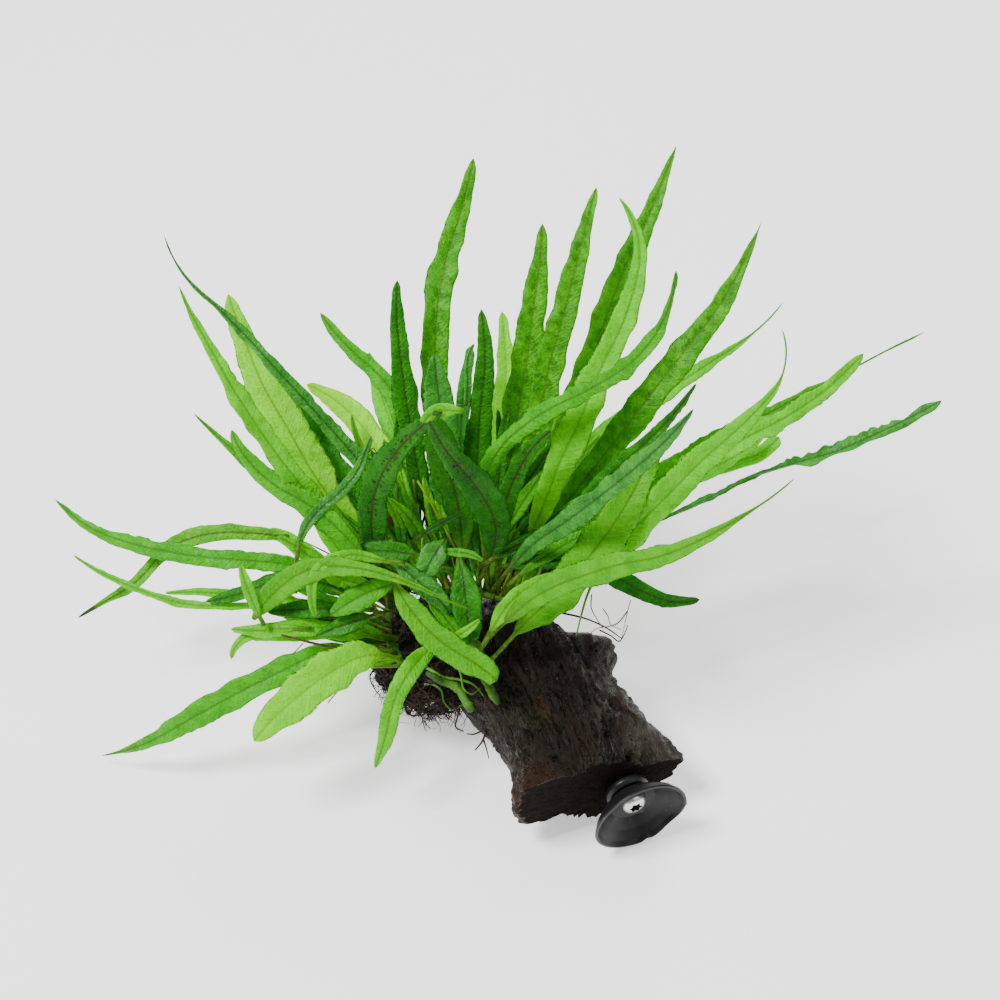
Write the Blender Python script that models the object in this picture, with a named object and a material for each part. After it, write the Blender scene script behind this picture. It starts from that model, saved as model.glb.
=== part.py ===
"""Java fern growing on a driftwood stump, with a suction cup screwed to the stump's sawn foot.

The stump lies on a flat under it. Rhizomes creep over its back end on a mat of roots, and a fan of
narrow fronds rises from them. Lengths in the tables are in millimetres and angles in degrees.
"""

import math
from typing import NamedTuple

import bmesh
import bpy
import numpy as np
from mathutils import Matrix, Vector

MM = 0.001
GAP = 0.4  # left between pieces that touch
SHARP_FROM = 40.0  # degrees between two faces from which their edge is shaded sharp

# The stump: its heart line starts at the sawn foot, beside the screw, and runs back to a broken end.
STUMP_LENGTH = 92.0
STUMP_RINGS = 26
STUMP_SIDES = 28
FOOT_CENTRE = np.array([26.3, -37.9, 19.05])  # where the screw enters the sawn foot
CUP_AXIS = np.array([0.374, -0.922, -0.102])  # out of the foot, through the cup
CUP_AXIS = CUP_AXIS / np.linalg.norm(CUP_AXIS)
HEART_ASIDE = -12.0  # the heart lies this far to the side of the screw
HEART_RAISED = 4.0
KNOB_ALONG = 54.0
KNOB_REACH = 9.0
KNOB_LENGTH = 7.0
KNOB_SIDE = 8.0  # degrees above the right
KNOB_SPREAD = 0.32  # radians round the stump
# The bark's ridges: waves round the stump, their share of the radius, and where they start.
BARK_RIDGES = ((5, 0.025, 0.0), (9, 0.018, 1.3))
BARK_TWIST = 0.012  # radians a millimetre

# Half sizes of the stump at distances along it: towards the right, the left, the top and the bottom.
STUMP_SECTIONS = (
    # along, right, left, top, bottom
    (0.0, 34.0, 30.0, 13.0, 18.0),
    (12.0, 30.0, 25.0, 14.0, 26.5),
    (26.0, 27.0, 21.5, 14.0, 28.5),
    (40.0, 24.0, 22.5, 14.0, 31.0),
    (52.0, 22.0, 26.5, 14.5, 32.0),
    (62.0, 15.0, 30.0, 14.5, 32.0),
    (74.0, 12.0, 28.0, 13.5, 31.0),
    (84.0, 9.0, 23.0, 9.0, 22.0),
    (92.0, 5.0, 12.0, 3.0, 9.0),
)
# The sawn foot's outline, as angle and distance from the heart.
FOOT_OUTLINE = (
    (0.0, 34.0),
    (9.0, 26.0),
    (16.0, 19.0),
    (30.0, 16.2),
    (69.0, 14.2),
    (125.0, 16.3),
    (152.0, 28.0),
    (181.0, 30.0),
    (199.0, 25.0),
    (216.0, 14.0),
    (240.0, 12.5),
    (274.0, 18.0),
    (328.0, 26.0),
    (346.0, 32.0),
    (360.0, 34.0),
)
FOOT_BLEND = 11.0  # the foot's outline fades into the stump's over this length

# The suction cup, in distances from its axis and, as minus values, behind the lip's plane.
CUP_BEHIND_LIP = 15.0  # from the lip's plane to the sawn foot
CUP_SIDES = 32
CUP_PROFILE = (
    (2.1, -8.4),
    (5.2, -8.4),
    (8.4, -7.5),
    (12.2, -4.6),
    (15.2, -1.7),
    (16.5, 0.0),
    (17.3, 0.0),
    (17.5, -0.5),
    (15.8, -3.4),
    (12.2, -6.8),
    (8.4, -9.4),
    (4.9, -10.3),
    (4.6, -10.9),
    (7.2, -11.2),
    (8.0, -12.3),
    (8.0, -13.6),
    (7.1, -14.6),
    (2.1, -14.6),
)

# The screw, on the cup's axis.
SCREW_SIDES = 24
SCREW_PROFILE = (
    (0.0, -5.1),
    (2.9, -5.3),
    (4.2, -6.0),
    (4.75, -7.1),
    (4.75, -8.0),
    (1.75, -8.0),
    (1.75, -24.0),
    (0.0, -28.0),
)
SCREW_HOLE_RADIUS = 2.1
SCREW_HOLE_END = -29.5
SCREW_HOLE_SIDES = 20
LOBES = 6
LOBE_RADIUS = 2.0
LOBE_DEPTH = 0.32
LOBE_SINK = 1.7  # how deep the driver's recess goes into the head
LOBE_POINTS = 24

# The root mat beside and over the stump.
MAT_CENTRE = (-42.0, 20.0, 26.0)
MAT_RADII = (21.0, 25.0, 18.0)
MAT_LUMPS = 0.07
MAT_FACES_KEPT = 0.2
MAT_GAP = 0.6  # between the mat and the stump's bark

# The fan in which the fronds spread: its plane leans back from upright.
FAN_LEANS_BACK = 45.0
SIDE = np.array([1.0, 0.0, 0.0])
UPRIGHT = np.array([0.0, math.sin(math.radians(FAN_LEANS_BACK)), math.cos(math.radians(FAN_LEANS_BACK))])
FRONT = np.array([0.0, -math.cos(math.radians(FAN_LEANS_BACK)), math.sin(math.radians(FAN_LEANS_BACK))])

RHIZOME_RADIUS = 2.0
RHIZOME_RINGS = 11
RHIZOME_SIDES = 7
RHIZOMES = {
    "rhizome_back": ((-52, 41, 46), (-44, 43, 48), (-32, 43, 48.5), (-19, 42, 48), (-9, 39, 46.5)),
    "rhizome_middle": ((-48, 30, 47.5), (-38, 28, 49.5), (-26, 27, 50), (-14, 23, 49), (-7, 17, 47.5)),
    "rhizome_right": ((-23, 35, 48.5), (-12, 32, 47.5), (-3, 26, 46)),
    "rhizome_left": ((-52, -2, 42), (-58, 12, 44), (-57, 24, 45.5), (-52, 33, 46.5)),
    "rhizome_front": (
        (-46, 1, 44),
        (-36, 6, 47.5),
        (-26, 4, 47.5),
        (-24.5, -4, 43),
        (-21, -11, 40.5),
        (-18, -16.5, 38.5),
    ),
    "rhizome_low": ((-44, -1, 38), (-38, -4, 37), (-33, -6, 35.5), (-30, -10.5, 34), (-27.5, -15, 33)),
}

PETIOLE_WIDTH = 1.7
PETIOLE_THICKNESS = 1.5
BLADE_THICKNESS = 0.7
LANCE_OPENING = 0.7  # how gently the blade opens from its petiole, and how long its tip is drawn out
LANCE_DRAWN_OUT = 0.9
FROND_STATIONS = 14


class Frond(NamedTuple):
    """One frond: where its foot stands on its rhizome, its size, and its heading along its length.

    swing turns in the fan's plane from its upright towards the right, lean tips it out of that plane
    towards the front, and roll turns the blade about its own midrib. Each holds the values at equal
    steps from foot to tip. bare is the share of the length that is only a petiole.
    """

    place: float
    length: float
    width: float
    swing: tuple
    lean: tuple
    roll: tuple = (0,)
    bare: float = 0.2


# Each rhizome's fronds, mostly in order along it.
FRONDS = {
    "back": (
        Frond(0.05, 80, 11.0, (-8, -14, -38, -68), (-2, -12)),
        Frond(0.14, 102, 7.6, (2, 4, -20, -50, -38), (8, 0, -10)),
        Frond(0.22, 80, 8.5, (-10, -12, -22, -14), (-12, -20)),
        Frond(0.30, 104, 9.0, (-14, -10, -10, 8), (24, 16, 8)),
        Frond(0.38, 84, 13.0, (2, 0, -8), (34, 24)),
        Frond(0.46, 147, 10.6, (-10, -6, 0, 16, 8), (12, 4, -6)),
        Frond(0.53, 80, 6.0, (-4, 0, 8), (-8, -18)),
        Frond(0.60, 95, 8.4, (0, 4, 6, -10), (30, 20, 12)),
        Frond(0.67, 90, 9.6, (0, 6, 6, -12), (-2, -8)),
        Frond(0.75, 123, 10.6, (6, 8, 7, 4), (16, 8, 0)),
        Frond(0.82, 142, 10.6, (11, 11, 13, 11), (26, 16, 8)),
        Frond(0.89, 78, 10.0, (10, 14, 10), (-12, -20)),
        Frond(0.96, 163, 11.8, (22, 18, 20, 28, 18), (8, 2, -8)),
    ),
    "middle": (
        Frond(0.03, 150, 8.0, (-58, -52, -38, -32, -30, -18), (40, 28, 12)),
        Frond(0.10, 129, 14.0, (-56, -48, -33, -27, -20), (18, 4, -4)),
        Frond(0.17, 96, 13.5, (-48, -42, -33, -28), (0, -12)),
        Frond(0.33, 94, 12.0, (26, -2, -14, -18, -24), (40, 40, 50, 75)),
        Frond(0.41, 28, 10.0, (108, 164, 188), (76, 44, 0)),
        Frond(0.50, 108, 12.0, (34, 20, -26, -38, -30), (57, 53, 46)),
        Frond(0.58, 162, 7.0, (-8, -8, 8, 52, 68, 56, 34, 6), (34, 34, 22)),
        Frond(0.65, 84, 7.6, (0, 0, 22, 56), (43, 40)),
        Frond(0.72, 159, 11.6, (22, 22, 23, 24, 24, 10, -46), (36, 24, 10, 0)),
        Frond(0.80, 162, 12.0, (24, 30, 37, 35, 35, 24), (22, 10, 0)),
        Frond(0.87, 112, 6.0, (28, 32, 46, 36), (40, 30, 18)),
        Frond(0.615, 130, 8.0, (36, 46, 56, 52, 40), (60, 46, 30)),
        Frond(0.98, 152, 12.0, (54, 52, 42, 40, 46, 36, -16), (40, 28, 12)),
    ),
    "right": (
        Frond(0.08, 148, 7.6, (36, 40, 50, 58, 58, 34), (8, -2, -12)),
        Frond(0.28, 180, 5.5, (54, 58, 60, 64, 62), (8, -4, -12)),
        Frond(0.46, 162, 8.0, (8, 44, 72, 72, 62, 56, 46), (46, 26, 6, -4)),
        Frond(0.62, 103, 8.0, (48, 52, 62, 74, 48), (24, 14, 4)),
        Frond(0.78, 167, 9.0, (51, 59, 69, 63, 71, 69, 59), (36, 16, 0), (70, 75, 60)),
        Frond(0.94, 63, 6.6, (50, 70, 120, 108, 76), (20, -6, -10)),
    ),
    "left": (
        Frond(0.02, 70, 15.0, (-52, -113, -133, -138), (60, 14, -20)),
        Frond(0.12, 125, 10.2, (-70, -116, -119, -122, -106), (40, 0, -22, -38)),
        Frond(0.24, 50, 7.0, (-74, -90, -102), (36, 6, -10)),
        Frond(0.44, 73, 7.0, (-42, -62, -94, -110, -103), (34, 12, -10, -16)),
        Frond(0.54, 126, 6.6, (-46, -62, -86, -88, -100, -140, -114), (38, 18, 0, -24)),
        Frond(0.62, 108, 10.6, (-14, -6, 36, 60), (46, 48, 40)),
        Frond(0.70, 130, 6.8, (-57, -75, -86, -87, -79, -67, -49), (20, 4, -6, -10)),
        Frond(0.78, 60, 6.0, (-70, -72, -46, -62), (50, 34)),
        Frond(0.85, 105, 8.0, (-30, -40, -58, -56, -40), (40, 26, 10)),
        Frond(0.98, 156, 6.4, (-6, -16, -40, -42, -46, -50, -18), (24, 14, 4)),
    ),
    "front": (
        Frond(0.10, 57, 8.4, (-128, -148, -168, -160), (60, 10, -40)),
        Frond(0.16, 83, 8.0, (-26, -50, -68, -108, -134), (50, 34, 14, -6)),
        Frond(0.27, 22, 9.0, (138, 150, 150), (66, 10, -10), bare=0.35),
        Frond(0.47, 150, 11.0, (32, 48, 70, 76, 60, 44), (52, 34, 16)),
        Frond(0.62, 108, 17.0, (42, 48, 34, 18), (34, 19, 8)),
    ),
}


def clear_scene():
    for obj in list(bpy.data.objects):
        bpy.data.objects.remove(obj)


def finish_material(name, colour, roughness, metallic=0.0):
    """A Principled material in a plain colour."""
    material = bpy.data.materials.new(name)
    material.use_nodes = True
    shader = material.node_tree.nodes["Principled BSDF"]
    shader.inputs["Base Color"].default_value = (*colour, 1.0)
    shader.inputs["Roughness"].default_value = roughness
    shader.inputs["Metallic"].default_value = metallic
    return material


def add_piece(name, points, faces, material):
    """One named object from points in millimetres."""
    mesh = bpy.data.meshes.new(name)
    mesh.from_pydata((np.asarray(points) * MM).tolist(), [], [tuple(map(int, face)) for face in faces])
    mesh.materials.append(material)
    obj = bpy.data.objects.new(name, mesh)
    bpy.context.scene.collection.objects.link(obj)
    return obj


def cut_away(obj, cutter):
    """Takes the cutter's space out of the object."""
    cutter.hide_render = True
    cutter.display_type = "WIRE"
    modifier = obj.modifiers.new("cut " + cutter.name, "BOOLEAN")
    modifier.operation = "DIFFERENCE"
    modifier.object = cutter


def face_outwards(obj):
    """Turns every face outwards, and shades the round ones smooth."""
    shape = bmesh.new()
    shape.from_mesh(obj.data)
    bmesh.ops.recalc_face_normals(shape, faces=shape.faces)
    shape.to_mesh(obj.data)
    shape.free()
    obj.data.shade_smooth()
    obj.data.set_sharp_from_angle(angle=math.radians(SHARP_FROM))


def ring_faces(rings, sides):
    """Quads between closed rings, and a cap on each end."""
    faces = [tuple(range(sides))[::-1], tuple(range((rings - 1) * sides, rings * sides))]
    for ring in range(rings - 1):
        for side in range(sides):
            here = ring * sides + side
            there = ring * sides + (side + 1) % sides
            faces.append((here, there, there + sides, here + sides))
    return faces


def smooth_path(corners, count):
    """Points along a Catmull-Rom curve through the corners."""
    corners = np.asarray(corners, float)
    padded = np.vstack([2 * corners[0] - corners[1], corners, 2 * corners[-1] - corners[-2]])
    spot = np.linspace(0, len(corners) - 1, count)
    start = np.minimum(spot.astype(int), len(corners) - 2)
    part = (spot - start)[:, None]
    a, b, c, d = (padded[start + i] for i in range(4))
    bend = (2 * a - 5 * b + 4 * c - d) * part**2
    twist = (3 * b - a - 3 * c + d) * part**3
    return 0.5 * (2 * b + (c - a) * part + bend + twist)


def unit(vectors):
    return vectors / np.linalg.norm(vectors, axis=-1, keepdims=True)


def cup_frame():
    """The cup's axis, and its sideways and upward directions in the plane of the sawn foot."""
    aside = unit(np.cross(CUP_AXIS, [0.0, 0.0, -1.0]))
    return CUP_AXIS, aside, np.cross(aside, -CUP_AXIS)


def stump_radius(along, angle):
    """Distance from the heart to the bark: four half ellipses, the foot's own outline, ridges and a knob."""
    table = np.array(STUMP_SECTIONS)
    right, left, top, bottom = (np.interp(along, table[:, 0], table[:, i]) for i in range(1, 5))
    across = np.where(np.cos(angle) > 0, right, left)
    upward = np.where(np.sin(angle) > 0, top, bottom)
    radius = 1 / np.sqrt((np.cos(angle) / across) ** 2 + (np.sin(angle) / upward) ** 2)
    foot = np.interp(np.degrees(angle) % 360, *np.array(FOOT_OUTLINE).T)
    share = np.exp(-((along / FOOT_BLEND) ** 2))
    radius = radius * (1 - share) + foot * share
    turn = angle + along * BARK_TWIST
    ridges = sum(height * np.sin(waves * turn + start) for waves, height, start in BARK_RIDGES)
    knob_side = (angle - math.radians(KNOB_SIDE) + math.pi) % (2 * math.pi) - math.pi
    knob = np.exp(-(((along - KNOB_ALONG) / KNOB_LENGTH) ** 2) - (knob_side / KNOB_SPREAD) ** 2)
    return radius * (1 + ridges) + KNOB_REACH * knob


def stump_points(along, angle, spare=0.0):
    """Points on the bark, spare millimetres outside it."""
    axis, aside, upward = cup_frame()
    radius = stump_radius(along, angle) + spare
    heart = FOOT_CENTRE + HEART_ASIDE * aside + HEART_RAISED * upward
    offset = (radius * np.cos(angle))[..., None] * aside + (radius * np.sin(angle))[..., None] * upward
    return heart - along[..., None] * axis + offset


def stump_shape(name, material, spare):
    """The stump as closed rings along its heart."""
    along = np.linspace(0, 1, STUMP_RINGS) ** 1.1 * STUMP_LENGTH
    angle = np.linspace(0, 2 * math.pi, STUMP_SIDES, endpoint=False)
    grid_along, grid_angle = np.meshgrid(along, angle, indexing="ij")
    points = stump_points(grid_along, grid_angle, spare).reshape(-1, 3)
    obj = add_piece(name, points, ring_faces(STUMP_RINGS, STUMP_SIDES), material)
    face_outwards(obj)
    return obj


def cut_flat_below(obj):
    """Cuts the mesh off at the height of the surface it lies on."""
    shape = bmesh.new()
    shape.from_mesh(obj.data)
    everything = shape.verts[:] + shape.edges[:] + shape.faces[:]
    cut = bmesh.ops.bisect_plane(
        shape, geom=everything, plane_co=(0, 0, 0), plane_no=(0, 0, 1), clear_inner=True, dist=1e-7
    )
    rim = [item for item in cut["geom_cut"] if isinstance(item, bmesh.types.BMEdge)]
    bmesh.ops.holes_fill(shape, edges=rim, sides=0)
    bmesh.ops.recalc_face_normals(shape, faces=shape.faces)
    shape.to_mesh(obj.data)
    shape.free()


def along_cup_axis(obj):
    """Places a piece turned about +Z so that its axis is the cup's and its zero is the lip's plane."""
    lip = Vector(FOOT_CENTRE + CUP_BEHIND_LIP * CUP_AXIS) * MM
    turn = Vector((0, 0, 1)).rotation_difference(Vector(CUP_AXIS))
    obj.matrix_world = Matrix.Translation(lip) @ turn.to_matrix().to_4x4()


def turned_ring(name, profile, sides, material):
    """A ring with a hole through it, from a closed profile of radius and height."""
    radius, height = np.array(profile).T
    angle = np.linspace(0, 2 * math.pi, sides, endpoint=False)
    points = [
        (r * math.cos(a), r * math.sin(a), h) for a in angle for r, h in zip(radius, height)
    ]
    count = len(profile)
    faces = []
    for side in range(sides):
        here, there = side * count, (side + 1) % sides * count
        for i in range(count):
            j = (i + 1) % count
            faces.append((here + i, here + j, there + j, there + i))
    obj = add_piece(name, points, faces, material)
    face_outwards(obj)
    return obj


def turned_solid(name, profile, sides, material):
    """A solid of revolution whose profile starts and ends on the axis."""
    angle = np.linspace(0, 2 * math.pi, sides, endpoint=False)
    rings = [[(r * math.cos(a), r * math.sin(a), h) for a in angle] for r, h in profile[1:-1]]
    points = [point for ring in rings for point in ring]
    top, bottom = len(points), len(points) + 1
    points += [(0, 0, profile[0][1]), (0, 0, profile[-1][1])]
    faces = ring_faces(len(rings), sides)[2:]
    last = (len(rings) - 1) * sides
    for side in range(sides):
        following = (side + 1) % sides
        faces.append((top, following, side))
        faces.append((bottom, last + side, last + following))
    obj = add_piece(name, points, faces, material)
    face_outwards(obj)
    return obj


def prism(name, outline, low, high, material):
    """A straight prism over an outline, along +Z."""
    points = [(x, y, low) for x, y in outline] + [(x, y, high) for x, y in outline]
    obj = add_piece(name, points, ring_faces(2, len(outline)), material)
    face_outwards(obj)
    return obj


def build_stump(material):
    stump = stump_shape("driftwood", material, 0.0)
    cut_flat_below(stump)
    angle = np.linspace(0, 2 * math.pi, SCREW_HOLE_SIDES, endpoint=False)
    outline = SCREW_HOLE_RADIUS * np.stack([np.cos(angle), np.sin(angle)], axis=1)
    hole = prism("screw_hole_cutter", outline, SCREW_HOLE_END, 0.0, material)
    along_cup_axis(hole)
    cut_away(stump, hole)


def build_cup(material):
    cup = turned_ring("suction_cup", CUP_PROFILE, CUP_SIDES, material)
    along_cup_axis(cup)


def build_screw(material):
    screw = turned_solid("screw", SCREW_PROFILE, SCREW_SIDES, material)
    angle = np.linspace(0, 2 * math.pi, LOBE_POINTS, endpoint=False)
    radius = LOBE_RADIUS + LOBE_DEPTH * np.cos(LOBES * angle)
    outline = np.stack([radius * np.cos(angle), radius * np.sin(angle)], axis=1)
    top = SCREW_PROFILE[0][1]
    recess = prism("driver_recess_cutter", outline, top - LOBE_SINK, top + 2, material)
    along_cup_axis(screw)
    along_cup_axis(recess)
    cut_away(screw, recess)


def build_root_mat(material):
    """A lumpy cushion of roots that the stump's side is cut out of."""
    shape = bmesh.new()
    bmesh.ops.create_icosphere(shape, subdivisions=4, radius=1.0)
    points = np.array([vert.co[:] for vert in shape.verts])
    faces = [[vert.index for vert in face.verts] for face in shape.faces]
    shape.free()
    x, y, z = points.T
    lumps = 1 + MAT_LUMPS * (np.sin(5 * x + 2 * y) + np.sin(6 * z - 3 * y + 1) + np.sin(7 * y + 3 * x))
    points = np.array(MAT_CENTRE) + points * np.array(MAT_RADII) * lumps[:, None]
    mat = add_piece("root_mat", points, faces, material)
    decimate = mat.modifiers.new("fewer faces", "DECIMATE")
    decimate.ratio = MAT_FACES_KEPT
    cutter = stump_shape("stump_space_cutter", material, MAT_GAP)
    cut_away(mat, cutter)


def tube(name, path, radius, sides, material):
    """A tube along a path, with rounded ends."""
    tangent = unit(np.gradient(path, axis=0))
    aside = unit(np.cross(tangent, [0.0, 0.0, 1.0]))
    upward = np.cross(aside, tangent)
    share = np.linspace(-1, 1, len(path))
    thick = radius * np.sqrt(np.clip(1 - 0.8 * share**12, 0, 1)) * (1 + 0.06 * np.sin(9 * share + 1))
    angle = np.linspace(0, 2 * math.pi, sides, endpoint=False)
    across = np.cos(angle)[None, :, None] * aside[:, None] + np.sin(angle)[None, :, None] * upward[:, None]
    points = path[:, None] + thick[:, None, None] * across
    obj = add_piece(name, points.reshape(-1, 3), ring_faces(len(path), sides), material)
    face_outwards(obj)
    return obj


def heading(swing, lean):
    """Unit vectors for a swing in the fan's plane and a lean out of it to the front."""
    swing, lean = np.radians(swing), np.radians(lean)
    in_plane = np.outer(np.sin(swing), SIDE) + np.outer(np.cos(swing), UPRIGHT)
    return np.cos(lean)[:, None] * in_plane + np.outer(np.sin(lean), FRONT)


def along_frond(values, share):
    """The value at each share of the length, from values at equal steps."""
    if len(values) == 1:
        return np.full_like(share, values[0])
    return np.interp(share, np.linspace(0, 1, len(values)), values)


def midrib(foot, frond, stations):
    """The midrib's points: steps of equal length, each along the frond's heading there."""
    share = np.linspace(0, 1, stations)
    middle = (share[1:] + share[:-1]) / 2
    steps = heading(along_frond(frond.swing, middle), along_frond(frond.lean, middle))
    steps = steps * frond.length / (stations - 1)
    return foot + np.vstack([np.zeros(3), np.cumsum(steps, axis=0)])


def half_width(frond, share):
    """A narrow petiole that opens into a lance-shaped blade."""
    blade = np.clip((share - frond.bare) / (1 - frond.bare), 0, 1)
    peak = LANCE_OPENING / (LANCE_OPENING + LANCE_DRAWN_OUT)
    lance = blade**LANCE_OPENING * (1 - blade) ** LANCE_DRAWN_OUT
    lance = lance / (peak**LANCE_OPENING * (1 - peak) ** LANCE_DRAWN_OUT)
    return PETIOLE_WIDTH / 2 * (1 - 0.7 * share) + (frond.width - PETIOLE_WIDTH * 0.6) / 2 * lance


def frond_foot(frond, path):
    """A point just off the rhizome, on the side that the frond sets out from."""
    spot = frond.place * (len(path) - 1)
    index = min(int(spot), len(path) - 2)
    centre = path[index] + (path[index + 1] - path[index]) * (spot - index)
    along = unit(path[index + 1] - path[index])
    out = heading(np.array(frond.swing[:1]), np.array(frond.lean[:1]))[0]
    out = unit(out - along * (out @ along) + np.array([0.0, 0.0, 0.4]))
    return centre + out * (RHIZOME_RADIUS * 1.06 + PETIOLE_THICKNESS / 2 + GAP)


def build_frond(name, frond, path, material):
    """A thin closed blade: rings of edge, face, edge and back, drawn to a point."""
    points = midrib(frond_foot(frond, path), frond, FROND_STATIONS)
    share = np.linspace(0, 1, FROND_STATIONS)
    tangent = unit(np.gradient(points, axis=0))
    side = unit(np.cross(tangent, FRONT))
    normal = np.cross(side, tangent)
    roll = np.radians(along_frond(frond.roll, share))[:, None]
    side, normal = side * np.cos(roll) + normal * np.sin(roll), normal * np.cos(roll) - side * np.sin(roll)
    wide = side * half_width(frond, share)[:, None]
    thick = PETIOLE_THICKNESS + (BLADE_THICKNESS - PETIOLE_THICKNESS) * np.clip(share / 0.4, 0, 1)
    thick = normal * thick[:, None] / 2
    rings = np.stack([points - wide, points + thick, points + wide, points - thick], axis=1)[:-1]
    corners = np.vstack([rings.reshape(-1, 3), points[-1]])
    faces = [(0, 1, 2), (0, 2, 3)]
    for ring in range(FROND_STATIONS - 2):
        base = ring * 4
        for i, j in ((0, 1), (2, 1), (2, 3), (0, 3)):
            faces += [(base + i, base + j, base + j + 4), (base + i, base + j + 4, base + i + 4)]
    last = (FROND_STATIONS - 2) * 4
    faces += [(last + i, last + (i + 1) % 4, len(corners) - 1) for i in range(4)]
    obj = add_piece(name, corners, faces, material)
    face_outwards(obj)
    return obj


def main():
    clear_scene()
    wood = finish_material("wet driftwood", (0.035, 0.028, 0.024), 0.45)
    rubber = finish_material("black rubber", (0.02, 0.02, 0.022), 0.3)
    steel = finish_material("stainless steel", (0.62, 0.63, 0.64), 0.3, 1.0)
    root = finish_material("dark roots", (0.03, 0.018, 0.01), 0.8)
    stem = finish_material("green rhizome", (0.11, 0.17, 0.03), 0.55)
    leaf = finish_material("fern green", (0.08, 0.3, 0.02), 0.4)
    build_stump(wood)
    build_cup(rubber)
    build_screw(steel)
    build_root_mat(root)
    for name, corners in RHIZOMES.items():
        tube(name, smooth_path(corners, RHIZOME_RINGS), RHIZOME_RADIUS, RHIZOME_SIDES, stem)
    for row, fronds in FRONDS.items():
        path = smooth_path(RHIZOMES["rhizome_" + row], 40)
        for number, frond in enumerate(fronds, 1):
            build_frond(f"frond_{row}_{number:02d}", frond, path, leaf)


main()
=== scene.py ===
"""Java fern on driftwood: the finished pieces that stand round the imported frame, laid out as an add-on."""

import math
from typing import NamedTuple

import bpy
import numpy as np
from bpy.props import FloatProperty, FloatVectorProperty, IntProperty, PointerProperty
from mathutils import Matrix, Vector


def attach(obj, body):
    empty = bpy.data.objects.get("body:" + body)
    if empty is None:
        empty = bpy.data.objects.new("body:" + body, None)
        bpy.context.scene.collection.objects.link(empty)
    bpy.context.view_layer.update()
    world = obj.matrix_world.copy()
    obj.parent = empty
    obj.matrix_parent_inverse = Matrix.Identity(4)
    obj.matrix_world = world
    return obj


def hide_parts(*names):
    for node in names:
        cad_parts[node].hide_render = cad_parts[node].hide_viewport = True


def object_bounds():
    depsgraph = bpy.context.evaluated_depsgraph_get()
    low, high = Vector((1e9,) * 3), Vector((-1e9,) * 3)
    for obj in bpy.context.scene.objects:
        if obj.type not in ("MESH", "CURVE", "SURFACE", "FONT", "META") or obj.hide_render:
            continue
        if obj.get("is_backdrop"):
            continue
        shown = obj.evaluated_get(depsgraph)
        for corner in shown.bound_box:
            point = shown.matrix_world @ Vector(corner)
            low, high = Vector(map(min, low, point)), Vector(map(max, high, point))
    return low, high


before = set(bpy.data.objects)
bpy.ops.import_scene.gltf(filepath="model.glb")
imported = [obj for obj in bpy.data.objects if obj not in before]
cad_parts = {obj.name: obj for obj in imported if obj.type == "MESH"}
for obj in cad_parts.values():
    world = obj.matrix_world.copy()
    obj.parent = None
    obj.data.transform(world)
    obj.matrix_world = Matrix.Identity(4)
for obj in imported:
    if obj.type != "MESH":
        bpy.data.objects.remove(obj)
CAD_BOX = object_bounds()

bl_info = {
    "name": "Java fern on driftwood",
    "version": (1, 0, 0),
    "blender": (4, 5, 0),
    "location": "View3D > Sidebar > Fern",
    "description": "Builds a java fern growing on a driftwood stump with a suction cup",
    "category": "Object",
}

MM = 0.001
TURN = 2 * math.pi
LATTICE = 97  # a noise lattice's length along v
SMOOTH = 180.0  # no edge is sharper than this angle in degrees
UNEVEN = (0.31, 0.17, 0.93)  # a direction that no stem follows


def unit(vectors):
    return vectors / np.linalg.norm(vectors, axis=-1, keepdims=True)


# The stump, in the frame's own millimetres. Its foot is sawn square to the cup's axis.
STUMP_LENGTH = 92.0
FOOT_CENTRE = np.array([26.3, -37.9, 19.05])
CUP_AXIS = unit(np.array([0.374, -0.922, -0.102]))
CUP_SIDE = unit(np.cross(CUP_AXIS, [0.0, 0.0, -1.0]))
CUP_UP = np.cross(CUP_SIDE, -CUP_AXIS)
HEART = FOOT_CENTRE - 12.0 * CUP_SIDE + 4.0 * CUP_UP
KNOB_ALONG = 54.0
KNOB_REACH = 9.0
KNOB_LENGTH = 7.0
KNOB_SIDE = 8.0
KNOB_SPREAD = 0.32
BARK_RIDGES = ((5, 0.025, 0.0), (9, 0.018, 1.3))
BARK_TWIST = 0.012
# The bark's reach at lengths along the stump: along, right, left, top, bottom.
STUMP_SECTIONS = (
    (0, 34, 30, 13, 18),
    (12, 30, 25, 14, 26.5),
    (26, 27, 21.5, 14, 28.5),
    (40, 24, 22.5, 14, 31),
    (52, 22, 26.5, 14.5, 32),
    (62, 15, 30, 14.5, 32),
    (74, 12, 28, 13.5, 31),
    (84, 9, 23, 9, 22),
    (92, 5, 12, 3, 9),
)
# The sawn foot's outline: a direction round its heart in degrees, and how far the bark is.
FOOT_OUTLINE = (
    (0, 34), (9, 26), (16, 19), (30, 16.2), (69, 14.2), (125, 16.3), (152, 28), (181, 30),
    (199, 25), (216, 14), (240, 12.5), (274, 18), (328, 26), (346, 32), (360, 34),
)
FOOT_BLEND = 11.0
SCREW_HOLE_RADIUS = 2.1
SCREW_HOLE_DEPTH = 14.5
STUMP_COLUMNS = 300
STUMP_RINGS = {"hole": 5, "sawn": 34, "bark": 236}
# Noise on the bark: lattice cells round the stump, their length along it, their depth and their seed.
BARK_GRAIN = ((9, 34.0, 1.4, 3), (22, 12.0, 1.4, 5), (54, 5.5, 1.3, 8), (120, 2.4, 0.8, 13))
BARK_MEANDER = (6, 30, 0.22, 21)
FOOT_CRUMBS = (90, 1.6, 3.0, 33)
CRUMB_REACH = 3.0
# Noise on the sawn foot: cells across and up in millimetres, depth and seed.
SAW_MARKS = ((1.7, 0.8, 0.5, 31), (9, 7, 1.1, 37))
SAW_CELLS = 64
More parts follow.
